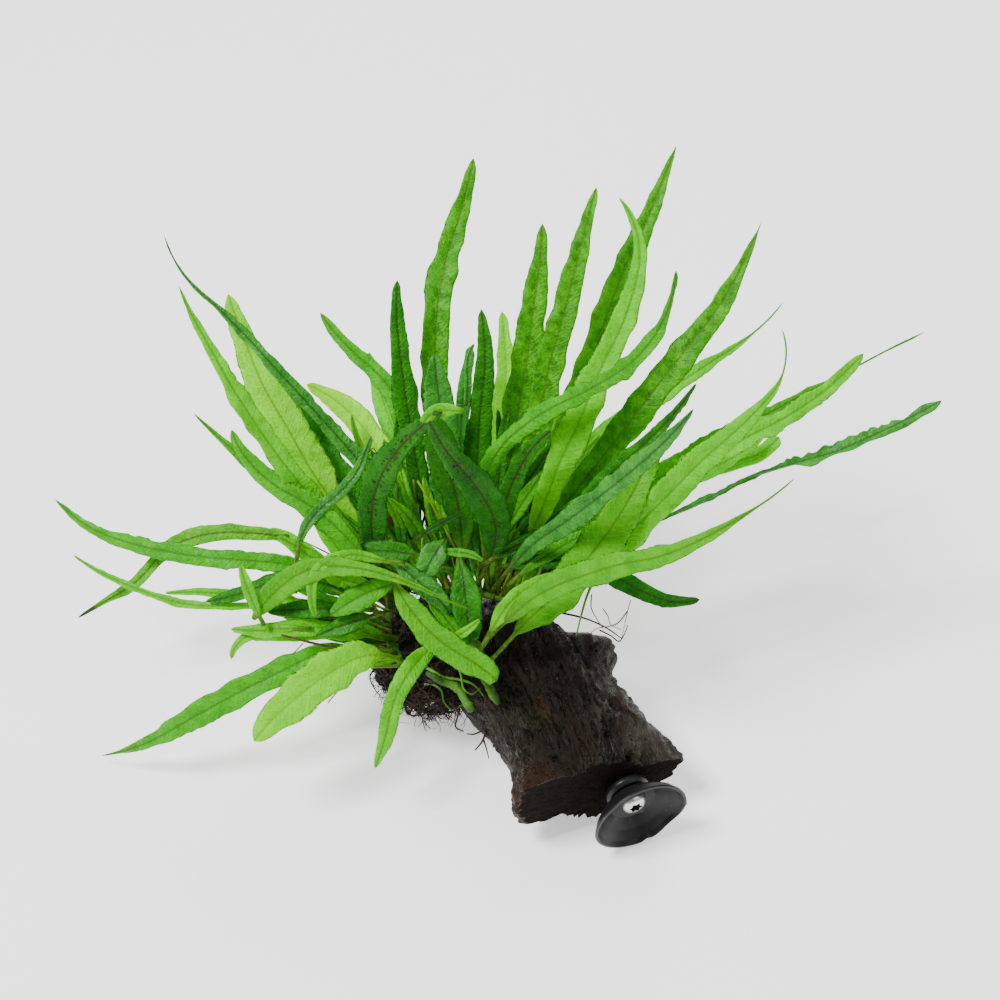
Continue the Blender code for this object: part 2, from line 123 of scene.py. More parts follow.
# Cracks: direction round the stump, place along it, width, length, depth and slant.
CRACKS = (
    (42, 58, 0.9, 15, 2.6, 0.10),
    (62, 30, 1.1, 9, 2.0, -0.05),
    (28, 22, 1.3, 7, 2.4, 0.12),
    (96, 44, 0.8, 12, 1.8, 0.08),
    (118, 20, 0.9, 8, 1.6, -0.10),
    (12, 36, 1.0, 9, 2.0, 0.05),
)
# Pits, then bumps, whose depth is negative: direction, place along, size and depth.
PITS = (
    (134, 9, 1.3, 3.0), (143, 6, 0.9, 2.2), (52, 12, 1.5, 3.0), (30, 2, 2.2, 4.0),
    (196, 2, 7.0, -3.0), (352, 50, 5.0, -3.6), (18, 57, 4.0, -2.2), (150, 0, 5.0, -1.5),
)

# The suction cup's and the screw head's sections, as radius and height over the lip's plane.
CUP_LIP = FOOT_CENTRE + 15.0 * CUP_AXIS
CUP_COLUMNS = 128
CUP_PROFILE = (
    (2.1, -8.4), (5.2, -8.4), (8.4, -7.5), (12.2, -4.6), (15.2, -1.7), (16.5, 0), (17.3, 0), (17.5, -0.5),
    (15.8, -3.4), (12.2, -6.8), (8.4, -9.4), (4.9, -10.3), (4.6, -10.9), (7.2, -11.2), (8, -12.3),
    (8, -13.6), (7.1, -14.6), (2.1, -14.6),
)
CUP_RIM = (9.0, 17.5)
CUP_WAVE = 0.5
# Where the rim is pressed in: direction in degrees, width in radians and depth.
CUP_DENTS = ((322, 0.45, 3.2), (283, 0.09, 1.3))
SCREW_HEAD = ((2.9, -5.2), (3.6, -5.5), (4.2, -6.0), (4.6, -6.6), (4.75, -7.1), (4.75, -7.95), (4.6, -8.0))
SCREW_TOP = -5.1
SCREW_TIP = -28.0
SCREW_CORE = 1.35
SCREW_COLUMNS = 96
SCREW_LOBES = 6
SCREW_LOBE_RADIUS = 2.0
SCREW_LOBE_DEPTH = 0.36
SCREW_SINK = 1.7
SCREW_PITCH = 1.6

MAT_CENTRE = np.array([-42.0, 20.0, 26.0])
MAT_RADII = np.array([21.0, 25.0, 18.0])
MAT_LUMPS = 0.07
MAT_GRID = (90, 180)
# Noise on the mat: cells round and down it, height, middle and seed.
MAT_NOISE = ((26, 9, 0.16, 0.7, 41), (70, 26, 0.12, 0.6, 43))
FIBRE_STEPS = 16

# The fan in which the leaves spread: its plane leans back from upright.
FAN_LEANS_BACK = math.radians(45.0)
SIDE = np.array([1.0, 0.0, 0.0])
UPRIGHT = np.array([0.0, math.sin(FAN_LEANS_BACK), math.cos(FAN_LEANS_BACK)])
FRONT = np.array([0.0, -math.cos(FAN_LEANS_BACK), math.sin(FAN_LEANS_BACK)])
FAN_CENTRE = np.array([-17.6, 58.0, 65.5])

RHIZOME_RADIUS = 2.0
RHIZOME_GRID = (70, 18)
RHIZOMES = {
    "back": ((-52, 41, 46), (-44, 43, 48), (-32, 43, 48.5), (-19, 42, 48), (-9, 39, 46.5)),
    "middle": ((-48, 30, 47.5), (-38, 28, 49.5), (-26, 27, 50), (-14, 23, 49), (-7, 17, 47.5)),
    "right": ((-23, 35, 48.5), (-12, 32, 47.5), (-3, 26, 46)),
    "left": ((-52, -2, 42), (-58, 12, 44), (-57, 24, 45.5), (-52, 33, 46.5)),
    "front": (
        (-46, 1, 44), (-36, 6, 47.5), (-26, 4, 47.5), (-24.5, -4, 43), (-21, -11, 40.5), (-18, -16.5, 38.5),
    ),
    "low": ((-44, -1, 38), (-38, -4, 37), (-33, -6, 35.5), (-30, -10.5, 34), (-27.5, -15, 33)),
}
# The swing of each row's leaves at its start and end, and how far its fillers may reach.
CROWN_ROWS = {
    "back": (-34, 34, 66.0),
    "middle": (-46, 52, 52.0),
    "right": (20, 72, 44.0),
    "left": (-96, -40, 40.0),
}

PETIOLE_WIDTH = 1.7
PETIOLE_THICKNESS = 1.5
LANCE_OPENING = 0.75
HALF_STEPS = 8  # places from the midrib to the margin
STATION_STEP = 1.3  # along a leaf
STATIONS = (24, 130)
VEIN_STEP = 4.2
VEIN_SLANT = 0.9
MARGIN_STEP = 6.0
RUFFLE_STEP = 7.0
CRIMP_STEP = 4.6
RIBBON_FROM = 14  # a leaf this many times as long as it is wide starts to be a ribbon
RIBBON_RANGE = 8
LOWEST = 0.15  # a leaf's clearance over the floor

# Where each kind of piece's random numbers start.
RHIZOME_SEED = 60
FROND_SEED = 100
SEED_STEP = 10
SPRIG_SEED = 900

# The stage, in metres and watts. A light is its name, place, size and power.
FLOOR_REACH = 6.0
FLOOR_DROP = 0.0003
LIGHTS = (
    ("key", (-0.75, -0.35, 1.45), 0.45, 41.0),
    ("fill", (0.9, -0.6, 1.0), 0.9, 4.5),
    ("back", (0.3, 1.0, 1.0), 0.6, 11.0),
)


class Leaf(NamedTuple):
    """A leaf: its finish, foot, size, headings and roll in degrees, and shape.

    The foot is a share of the way along a rhizome, or a place in the fan: to the right of its centre, up its
    plane and out to the front, in millimetres. Swing turns from up to the right, and lean turns to the front;
    both are given at equal steps. Bare is the petiole's share. Whole is the share of the drawn-out blade that
    is there: under 1 the tip is blunt. Drawn is how early the blade narrows.
    """

    finish: str
    foot: float | tuple
    length: float
    width: float
    swing: tuple
    lean: tuple = (20, 0)
    roll: tuple = (0,)
    bare: float = 0.16
    whole: float = 0.95
    drawn: float = 1.0


def young(*values, bare=0.12, **shape):
    """A young or half-hidden leaf in the crown, with a shorter petiole."""
    return Leaf(*values, bare=bare, **shape)


# Each rhizome's fronds, mostly in order along it. Most bend as the frame's do.
FRONDS = {
    "back": (
        Leaf("lime", 0.05, 80, 11, (-8, -14, -38, -68), (-2, -12)),
        Leaf("mid", 0.14, 102, 7.6, (2, 4, -20, -50, -38), (8, 0, -10)),
        Leaf("bright", 0.22, 80, 8.5, (-10, -12, -22, -14), (-12, -20)),
        Leaf("dark", 0.3, 104, 9, (-14, -10, -10, 8), (24, 16, 8)),
        Leaf("shaded_blue_sheen", 0.38, 84, 13, (2, 0, -8), (34, 24)),
        Leaf("mottled", 0.46, 147, 10.6, (-10, -6, 0, 16, 8), (12, 4, -6)),
        Leaf("shaded_blue_sheen", 0.53, 80, 6, (-4, 0, 8), (-8, -18), whole=0.86),
        Leaf("dark", 0.6, 95, 8.4, (0, 4, 6, -10), (30, 20, 12)),
        Leaf("pale", 0.67, 90, 9.6, (0, 6, 6, -12), (-2, -8)),
        Leaf("mottled", 0.75, 123, 10.6, (6, 8, 7, 4), (16, 8, 0)),
        Leaf("mottled", 0.82, 142, 10.6, (11, 11, 13, 11), (26, 16, 8)),
        Leaf("pale", 0.89, 78, 10, (10, 14, 10), (-12, -20)),
        Leaf("mottled", 0.96, 163, 11, (22, 18, 20, 28, 18), (8, 2, -8), whole=1),
    ),
    "middle": (
        Leaf("bright", 0.03, 150, 8, (-58, -52, -38, -32, -30, -18), (40, 28, 12), drawn=1.4),
        Leaf("veined", 0.1, 129, 14, (-56, -48, -33, -27, -20), (18, 4, -4)),
        Leaf("dark", 0.17, 96, 13.5, (-48, -42, -33, -28), (0, -12)),
        Leaf("under", 0.33, 94, 12, (26, -2, -14, -18, -24), (40, 40, 50, 75)),
        Leaf("dark", (-14, -22, 45), 28, 9.5, (164, 172, 178), (8, 4, 0), bare=0, whole=0.8),
        Leaf("fertile", 0.5, 108, 12, (34, 20, -26, -38, -30), (57, 53, 46)),
        Leaf("mid", 0.58, 162, 7, (-8, -8, 8, 52, 68, 56, 34, 6), (34, 34, 22)),
        Leaf("fertile", 0.65, 84, 7.6, (0, 0, 22, 56), (43, 40)),
        Leaf("bright", 0.72, 159, 11.6, (22, 22, 23, 24, 24, 10, -46), (36, 24, 10, 0), drawn=1.4),
        Leaf("mottled", 0.8, 162, 11.2, (24, 30, 37, 35, 35, 24), (22, 10, 0), whole=1.02),
        Leaf("dark", 0.87, 112, 6, (28, 32, 46, 36), (40, 30, 18)),
        Leaf("shaded_blue_sheen", 0.615, 130, 8, (36, 46, 56, 52, 40), (60, 46, 30)),
        Leaf("bright", 0.98, 152, 11.5, (54, 52, 42, 40, 46, 36, -24), (40, 28, 12), whole=1.12, drawn=1.1),
    ),
    "right": (
        Leaf("bright", 0.08, 148, 7.6, (36, 40, 50, 58, 58, 34), (8, -2, -12), whole=1.12, drawn=1.1),
        Leaf("mid", 0.28, 180, 5.5, (54, 58, 60, 64, 62), (8, -4, -12), whole=1.2),
        Leaf("bright", 0.46, 162, 7.6, (8, 44, 72, 72, 62, 56, 46), (46, 26, 6, -4), whole=0.9, drawn=0.8),
        Leaf("bright", 0.62, 103, 8, (48, 52, 62, 74, 48), (24, 14, 4)),
        Leaf(
            "shaded_blue_sheen", 0.78, 167, 5.5, (51, 59, 69, 63, 71, 69, 59), (36, 16, 0), (70, 75, 50, 30),
            whole=0.88, drawn=0.5,
        ),
        Leaf("dark", 0.94, 63, 6.6, (50, 70, 120, 108, 76), (20, -6, -10)),
    ),
    "left": (
        Leaf("pale", 0.02, 70, 14.5, (-52, -113, -133, -138), (60, 14, -20), whole=0.97, drawn=0.8),
        Leaf("mid", 0.12, 125, 10.2, (-70, -116, -119, -122, -106), (40, 0, -22, -38), whole=1.04, drawn=1.3),
        Leaf("bright", 0.24, 50, 7, (-74, -90, -102), (36, 6, -10)),
        Leaf("dark", 0.44, 73, 7, (-42, -62, -94, -110, -103), (34, 12, -10, -16)),
        Leaf(
            "tipped", (-78, -13, 14), 86, 6.4, (-86, -90, -108, -142, -122, -121), (0, -10), bare=0, drawn=1.4
        ),
        Leaf("fertile", 0.62, 108, 10.6, (-14, -6, 36, 60), (46, 48, 40)),
        Leaf("mid", 0.7, 130, 6.8, (-57, -75, -86, -87, -79, -67, -49), (20, 4, -6, -10), drawn=1.1),
        Leaf("bright", 0.78, 60, 6, (-70, -72, -46, -62), (50, 34)),
        Leaf("mid", 0.85, 105, 8, (-30, -40, -58, -56, -40), (40, 26, 10), whole=1, drawn=1.5),
        Leaf("shaded_blue_sheen", 0.98, 156, 6, (-6, -16, -40, -42, -46, -50, -14), (24, 14, 4), whole=1.08, drawn=1.5),
    ),
    "front": (
        Leaf("bright", 0.1, 59, 7.8, (-128, -148, -168, -156), (60, 10, -40), bare=0, whole=1, drawn=0.9),
        Leaf("fresh", (-85, -40, 44), 86, 8.8, (40, 50, 84, 106, 112, 115), (30, 10, 0, -4), bare=0, drawn=3),
        Leaf("fresh", (-36, -30, 47), 49, 11, (150, 138, 124, 130), (14, 4, -6), bare=0, whole=0.85),
        Leaf("fresh", 0.47, 150, 9.6, (32, 48, 70, 76, 60, 44), (52, 34, 16), whole=1.1, drawn=1.3),
        Leaf("fresh", 0.62, 108, 15, (42, 48, 34, 18), (34, 19, 8)),
    ),
}
SPRIGS = (
    young("bright", (-14, 30, 86), 14, 5, (-84, -104, -150), (10, -10, -40), (30, 10), bare=0, whole=0.85),
    young("shaded_blue_sheen", (-12, 36, 14), 21, 2.8, (6, -4, 30), bare=0),
    # Left of the crown.
    young("mid", (-44, -26, 38), 74, 8.5, (-32, -38, -50, -63, -42, -15), (30, 10, 0)),
    young("shaded_blue_sheen", (-71, -22, 45), 54, 4.6, (5, 20, 38, 55, 45, 25, 20), (20, 10, 0)),
    young("bright", (-56, -29, 8), 37, 7.5, (-46, -56, -50, -110), (20, 10, 0)),
    young("bright", (-47, -36, 4), 52, 6, (-34, -32, -36), (10, 0)),
    young("bright", (-71, -37, 20), 86, 2.8, (-92, -88, -84, -74, -64, -58), (10, 0, -10)),
    young("bright", (-75, -33, 12), 46, 3.2, (-92, -90, -84, -96), (5, 0)),
    young("bright", (-83, -42, 46), 22, 4.4, (-22, -16, -12), (30, 10)),
    young("bright", (-70, -36, 24), 22, 4.8, (-78, -86), (10, 0)),
    young("bright", (-68, -45, 40), 32, 3.8, (-86, -92, -120, -168), (10, 0, -20)),
    young("bright", (-53, -46, 35), 42, 6.4, (-78, -86, -96, -84), (10, 0)),
    young("dark", (-52, -39, 40), 30, 6.5, (-85, -95, -98), (10, -10)),
    young("dark", (-43, -40, 42), 23, 6, (-105, -112), (10, -10)),
    young("dark", (-26, -20, 40), 30, 6.8, (-75, -85, -105), (10, -10)),
    young("bright", (-35, -22, 50), 48, 4.6, (-80, -72, -110, -172, -200), (10, 0, -20)),
    young("mid", (-34, -29, 46), 28, 8.6, (-100, -120, -130), (10, -10)),
    # The middle of the crown.
    young("mid", (-45, -21, 20), 20, 6, (-40, -30)),
    young("dead", (-37, -14, 22), 15, 5, (-35, -30)),
    young("dark", (-34, -21, 25), 28, 4.2, (-8, -6, 4)),
    young("bright", (-26, -24, 8), 40, 5.5, (-14, -16, -8)),
    young("bright", (-20, -24, 8), 34, 4.6, (-12, -10)),
    young("dark", (-30, -14, 32), 20, 2.8, (58, 64)),
    young("shaded_blue_sheen", (-20, -15, 42), 15, 9, (-138, -165), (30, -20), bare=0, whole=0.75),
    young("mid", (-19, -18, 41), 14, 3, (92, 100, 130), (10, 0), bare=0),
    young("shaded_blue_sheen", (-36, -22, 46), 26, 8, (125, 130, 145), (10, -10), bare=0),
    young("mid", (-21, -24, 32), 16, 3.2, (100, 140, 170)),
    young("mid", (-26, -34, 42), 18, 5.2, (135, 140), (10, -10)),
    young("bright", (-18, -49, 48), 14, 3, (66, 48), (20, 10)),
    young("bright", (-5, -16, 22), 21, 4.2, (2, 2)),
    young("dark", (-17, -7, 12), 54, 3.8, (20, 28, 42, 50, 38), (10, 0)),
    # Right of the crown.
    young("pale", (4, 0, 2), 36, 5.4, (28, 30), (10, 0)),
    young("fertile", (-4, -14, 25), 45, 5.6, (28, 33, 30)),
    young("mid", (0, -14, 28), 32, 4.8, (30, 34)),
    young("bright", (16, 0, 22), 17, 5.5, (25, 60, 85)),
    young("dark", (11, -14, 30), 40, 3.6, (50, 53, 56, 50, -20, -160), (10, 0)),
    young("pale", (21, -16, 20), 18, 5.2, (30, 40)),
    young("dark", (-5, -22, 26), 33, 6.2, (58, 70, 84)),
    young("dark", (0, -24, 24), 29, 5.4, (78, 84, 88)),
    young("fertile", (-6, -23, 32), 50, 3.8, (58, 62, 66)),
    young("mid", (4, -29, 36), 48, 5, (48, 60, 66)),
    young("bright", (-5, -49, 44), 40, 5.8, (25, 36, 66, 76)),
    young("bright", (7, -31, 47), 9, 2.2, (118, 136), (10, 0)),
    young("bright", (40, -3, 16), 66, 6.4, (62, 68, 74, 76, 74, 36), (6, 0), whole=0.82, drawn=0.6),
)


class Finish(NamedTuple):
    """A leaf's colours, how strong its marks are from 0 to 1, and how much of its tip is burnt."""

    deep: tuple
    light: tuple
    rib: tuple
    glow: tuple
    veins: float
    gloss: float
    mottle: float = 0.0
    sori: float = 0.0
    burnt: float = 0.0


LEAF_FINISHES = {
    "pale": Finish((0.14, 0.56, 0), (0.26, 0.8, 0), (0.15, 0.42, 0.004), (0.5, 1, 0), 0.45, 0.15),
    "lime": Finish((0.24, 0.7, 0), (0.4, 0.95, 0.002), (0.2, 0.5, 0.004), (0.6, 1, 0), 0.35, 0.1),
    "bright": Finish(
        (0.08, 0.42, 0), (0.17, 0.66, 0.002), (0.07, 0.24, 0.008), (0.3, 0.9, 0), 0.4, 0.35, 0.1
    ),
    "veined": Finish((0.15, 0.56, 0), (0.3, 0.84, 0.004), (0.13, 0.26, 0.008), (0.4, 0.9, 0), 0.8, 0.2),
    "fresh": Finish(
        (0.055, 0.33, 0), (0.115, 0.48, 0.001), (0.07, 0.16, 0.005), (0.2, 0.75, 0), 0.5, 0.3, 0.1
    ),
    "mid": Finish((0.032, 0.28, 0), (0.085, 0.48, 0.001), (0.05, 0.14, 0.01), (0.16, 0.7, 0), 0.5, 0.4, 0.15),
    "dark": Finish(
        (0.01, 0.13, 0), (0.032, 0.28, 0.001), (0.025, 0.05, 0.004), (0.06, 0.45, 0), 0.4, 0.5, 0.2
    ),
    # Painted shade and sheen: a bluish dark green for leaves that lie in shade, with the bluish sheen of
    # reflected sky painted into its colours.
    "shaded_blue_sheen": Finish(
        (0.022, 0.18, 0.012), (0.075, 0.4, 0.03), (0.02, 0.07, 0.01), (0.1, 0.5, 0.02), 0.45, 0.7, 0.2
    ),
    "mottled": Finish(
        (0.03, 0.22, 0.001), (0.11, 0.46, 0.002), (0.07, 0.13, 0.008), (0.2, 0.75, 0), 0.35, 0.4, 1
    ),
    "fertile": Finish(
        (0.008, 0.12, 0), (0.022, 0.22, 0), (0.035, 0.014, 0.003), (0.03, 0.3, 0), 0.45, 0.45, 0.1, 1
    ),
    "tipped": Finish(
        (0.04, 0.28, 0.001), (0.16, 0.52, 0.004), (0.05, 0.06, 0.005), (0.2, 0.7, 0), 0.5, 0.4, 0.3, 0, 0.1
    ),
    "dead": Finish(
        (0.03, 0.018, 0.006), (0.1, 0.065, 0.015), (0.04, 0.02, 0.006), (0.3, 0.2, 0.03), 0.4, 0.3, 0.6
    ),
    "under": Finish((0.016, 0.16, 0), (0.045, 0.29, 0.001), (0.025, 0.03, 0.003), (0.1, 0.5, 0), 0.75, 0.35),
}


def smooth_path(corners, count):
    """Points along a Catmull-Rom curve: each stretch is the cubic with its neighbours' slopes at its ends."""
    corners = np.asarray(corners, float)
    padded = np.vstack([2 * corners[0] - corners[1], corners, 2 * corners[-1] - corners[-2]])
    spot = np.linspace(0, len(corners) - 1, count)
    start = np.minimum(spot.astype(int), len(corners) - 2)
    part = (spot - start)[:, None]
    a, b, c, d = (padded[start + i] for i in range(4))
    bend = (2 * a - 5 * b + 4 * c - d) * part**2
    twist = (3 * b - a - 3 * c + d) * part**3
    return 0.5 * (2 * b + (c - a) * part + bend + twist)


def noise(u, v, cells, seed):
    """Value noise from 0 to 1: random heights on a square lattice, blended by 3t^2 - 2t^3; u wraps."""
    heights = np.random.default_rng(seed).random((cells, LATTICE))
    whole_u, whole_v = np.floor(u).astype(int), np.floor(v).astype(int)
    blend_u, blend_v = (part**2 * (3 - 2 * part) for part in (u - whole_u, v - whole_v))

    def row(v):
        low, high = (heights[(whole_u + i) % cells, v % LATTICE] for i in (0, 1))
        return low * (1 - blend_u) + high * blend_u

    return row(whole_v) * (1 - blend_v) + row(whole_v + 1) * blend_v


def wander(along, step, seed):
    """Smooth noise from -1 to 1 along a line, with a new random height every step."""
    return 2 * noise(0.5, along / step, 1, seed) - 1


def with_ends(values):
    """Values of shape (rings, sides) or (rings, sides, 3) as a list, then the mean of each end ring."""
    ends = np.stack([values[0].mean(axis=0), values[-1].mean(axis=0)])
    return np.concatenate([values.reshape(-1, *values.shape[2:]), ends])


def field(*parts):
    """Three numbers for each point of a body's rings and ends."""
    return with_ends(np.stack(np.broadcast_arrays(*parts), axis=-1))


def capped_body(rings):
    """Points and faces of a closed body: quads between rings, and a fan from each end ring to its middle."""
    count, sides = rings.shape[:2]
    grid = np.arange(count * sides).reshape(count, sides)
    after = np.roll(grid, -1, axis=1)
    quads = np.stack([grid[:-1], after[:-1], after[1:], grid[1:]], axis=-1).reshape(-1, 4)
    start, end = np.full(sides, count * sides), np.full(sides, count * sides + 1)
    fans = np.array([(start, after[0], grid[0]), (end, grid[-1], after[-1])])
    return with_ends(rings), quads, fans.swapaxes(1, 2).reshape(-1, 3)


def merged(bodies):
    """One body from several: the faces' numbers move on past the points before them."""
    starts = np.cumsum([0] + [len(points) for points, _, _ in bodies])
    quads, fans = (np.concatenate([body[i] + start for body, start in zip(bodies, starts)]) for i in (1, 2))
    return np.concatenate([body[0] for body in bodies]), quads, fans


def tube_rings(paths, radii, sides):
    """Circles square to each path: the radius times cosine and sine along two cross vectors."""
    tangent = unit(np.gradient(paths, axis=-2))
    aside = unit(np.cross(tangent, unit(np.array(UNEVEN))))
    upward = np.cross(tangent, aside)
    angle = np.linspace(0, TURN, sides, endpoint=False)[:, None]
    across = np.cos(angle) * aside[..., None, :] + np.sin(angle) * upward[..., None, :]
    return paths[..., None, :] + radii[..., None, None] * across


def many_tubes(paths, radii, sides):
    """One body of closed tubes along paths of shape (count, points, 3)."""
    return merged([capped_body(rings) for rings in tube_rings(paths, radii, sides)])


def add_piece(name, body, material, slot, replaced=(), fields=None, sharp=SMOOTH):
    """One finished object from points in millimetres and faces, riding with the plant."""
    points, quads, fans = body
    mesh = bpy.data.meshes.new(name)
    mesh.from_pydata((points * MM).astype(np.float32), [], quads.tolist() + fans.tolist())
    for key, values in (fields or {}).items():
        kind, part = ("FLOAT_VECTOR", "vector") if values.ndim == 2 else ("FLOAT", "value")
        mesh.attributes.new(key, kind, "POINT").data.foreach_set(part, values.astype(np.float32).ravel())
    mesh.materials.append(material)
    mesh.shade_smooth()
    if sharp < SMOOTH:
        mesh.set_sharp_from_angle(angle=math.radians(sharp))
    obj = bpy.data.objects.new(name, mesh)
    bpy.context.scene.collection.objects.link(obj)
    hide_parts(*replaced)
    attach(obj, "root")


def add_light(name, place, size, power, target):
    """A square area light that faces the target."""
    data = bpy.data.lights.new(name, "AREA")
    data.size, data.energy = size, power
    light = bpy.data.objects.new(name, data)
    light.location = place
    light.rotation_euler = (Vector(target) - Vector(place)).to_track_quat("-Z", "Y").to_euler()
    bpy.context.scene.collection.objects.link(light)
    light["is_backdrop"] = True


class Socket:
    """A shader value that Python's operators work on: each adds the Math node that it needs."""

    def __init__(self, graph, socket):
        self.graph, self.socket = graph, socket

    def math(self, operation, *values):
        return self.graph.output("Math", {"operation": operation}, dict(enumerate((self, *values))))

    def __add__(self, other):
        return self.math("ADD", other)

    def __sub__(self, other):
        return self.math("SUBTRACT", other)

    def __mul__(self, other):
        return self.math("MULTIPLY", other)

    def __truediv__(self, other):
        return self.math("DIVIDE", other)

    def __rsub__(self, other):
        return self.graph.output("Math", {"operation": "SUBTRACT"}, {0: other, 1: self})

    def __abs__(self):
        return self.math("ABSOLUTE")

    __radd__ = __add__
    __rmul__ = __mul__

    def step(self, low, high):
        """0 below low, 1 above high, and a smooth step between."""
        settings = {"interpolation_type": "SMOOTHSTEP"}
        return self.graph.output("MapRange", settings, {"Value": self, "From Min": low, "From Max": high})


class Shader:
    """A material's nodes, made one at a time: a node's settings first, then its sockets."""

    def __init__(self, name):
        self.material = bpy.data.materials.new(name)
        self.material.use_nodes = True
        self.nodes = self.material.node_tree.nodes
        self.nodes.clear()

    def add(self, kind, settings=None, inputs=None):
        node = self.nodes.new("ShaderNode" + kind)
        for name, value in (settings or {}).items():
            setattr(node, name, value)
        for key, value in (inputs or {}).items():
            if isinstance(value, Socket):
                self.material.node_tree.links.new(value.socket, node.inputs[key])
            else:
                node.inputs[key].default_value = value
        return node

    def output(self, kind, settings=None, inputs=None, key=0):
        return Socket(self, self.add(kind, settings, inputs).outputs[key])

    def mix(self, share, first, second):
        first, second = (c if isinstance(c, Socket) else (*c, 1.0) for c in (first, second))
        return self.output("Mix", {"data_type": "RGBA"}, {0: share, 6: first, 7: second}, 2)

    def field(self, name):
        """A vector attribute, and its three numbers."""
        vector = self.output("Attribute", {"attribute_name": name}, key="Vector")
        parts = self.add("SeparateXYZ", None, {0: vector})
        return vector, *(Socket(self, parts.outputs[i]) for i in range(3))

    def number(self, name):
        return self.output("Attribute", {"attribute_name": name}, key="Fac")

    def place(self):
        return self.output("TexCoord", key="Object")

    def noise(self, vector, scale, detail=2.0):
        return self.output("TexNoise", None, {"Vector": vector, "Scale": scale, "Detail": detail})

    def cells(self, vector, scale, **settings):
        """The distance to the nearest cell's centre, or as the settings say."""
        return self.output("TexVoronoi", settings, {"Vector": vector, "Scale": scale}, "Distance")

    def finish(self, base, roughness, height=None, depth=0.2, sockets=None, other=None, share=0.0):
        """Principled, bumped by a height in millimetres, with a share of another surface of one colour."""
        inputs = {"Base Color": base, "Roughness": roughness, **(sockets or {})}
        if height is not None:
            inputs["Normal"] = self.output("Bump", None, {"Height": height, "Distance": depth * MM})
        surface = self.output("BsdfPrincipled", None, inputs)
        if other is not None:
            kind, colour = other
            second = self.output(kind, None, {"Color": (*colour, 1.0)})
            surface = self.output("MixShader", None, {0: share, 1: surface, 2: second})
        self.add("OutputMaterial", None, {"Surface": surface})
        return self.material


def leaf_material(name, look):
    """Green patches, slanted veins with a fine net between them, a rib, sori beside it, and a wet gloss."""
    shader = Shader("fern leaf, " + name)
    flat, across, along, _ = shader.field("blade")
    _, spread, share, stalk = shader.field("reach")
    beside = abs(across)
    paler = tuple(min(1.0, c * 1.35 + 0.02) for c in look.light)
    darker = (look.deep[0] * 0.4, look.deep[1] * 0.4, look.deep[2] * 1.6)
    fine = shader.noise(flat, 0.8, 3.0)
    green = shader.mix(shader.noise(flat, 0.16, 4.0).step(0.3, 0.7), look.deep, look.light)
    rise = (along - beside * VEIN_SLANT) / VEIN_STEP + shader.noise(flat, 0.2) * 0.8
    vein = 1 - abs(rise.math("FRACT") - 0.5).step(0.02, 0.16)
    net = 1 - shader.cells(flat, 0.42, feature="DISTANCE_TO_EDGE").step(0.02, 0.16)
    lines = (vein * 0.7 + net * 0.5).math("MINIMUM", 1.0)
    green = shader.mix(shader.noise(flat, 1.0, 4.0).step(0.42, 0.62) * 0.5, green, look.deep)
    green = shader.mix(lines * look.veins * 0.6, green, paler)
    spots = shader.noise(flat, 0.3, 4.0).step(0.46, 0.62) * (1 - lines * 0.6) * (1 - abs(spread) * 0.5)
    green = shader.mix(spots * look.mottle * 0.9, green, darker)
    green = shader.mix(abs(spread).step(0.8, 1.0) * 0.35, green, paler)
    green = shader.mix((1 - beside.step(0.2, 0.55)) * 0.8, green, look.rib)
    lane = beside.step(0.5, 0.8) * (1 - beside.step(1.5, 2.1)) * share.step(0.25, 0.4)
    lane = lane * (1 - share.step(0.8, 0.95))
    sori = (1 - shader.cells(flat, 0.75).step(0.3, 0.42)) * lane * shader.noise(flat, 0.14).step(0.4, 0.5)
    green = shader.mix(sori * look.sori, green, (0.05, 0.018, 0.005))
    petiole = shader.mix(fine.step(0.4, 0.6), (0.16, 0.22, 0.02), (0.05, 0.09, 0.01))
    green = shader.mix(stalk * 0.85, green, petiole)
    burnt = (share + shader.noise(flat, 0.3) * 0.08).step(1.04 - look.burnt, 1.07 - look.burnt)
    green = shader.mix(burnt, green, (0.03, 0.014, 0.006))
    height = lines * 0.5 + fine * 0.25 + shader.noise(flat, 0.55, 2.0) * 0.9 - sori * look.sori
    rough = 0.42 - look.gloss * 0.25 + fine * 0.2
    shine = {"Specular IOR Level": 0.06 + look.gloss * 0.3}
    return shader.finish(green, rough, height, 0.5, shine, ("BsdfTranslucent", look.glow), 0.3)


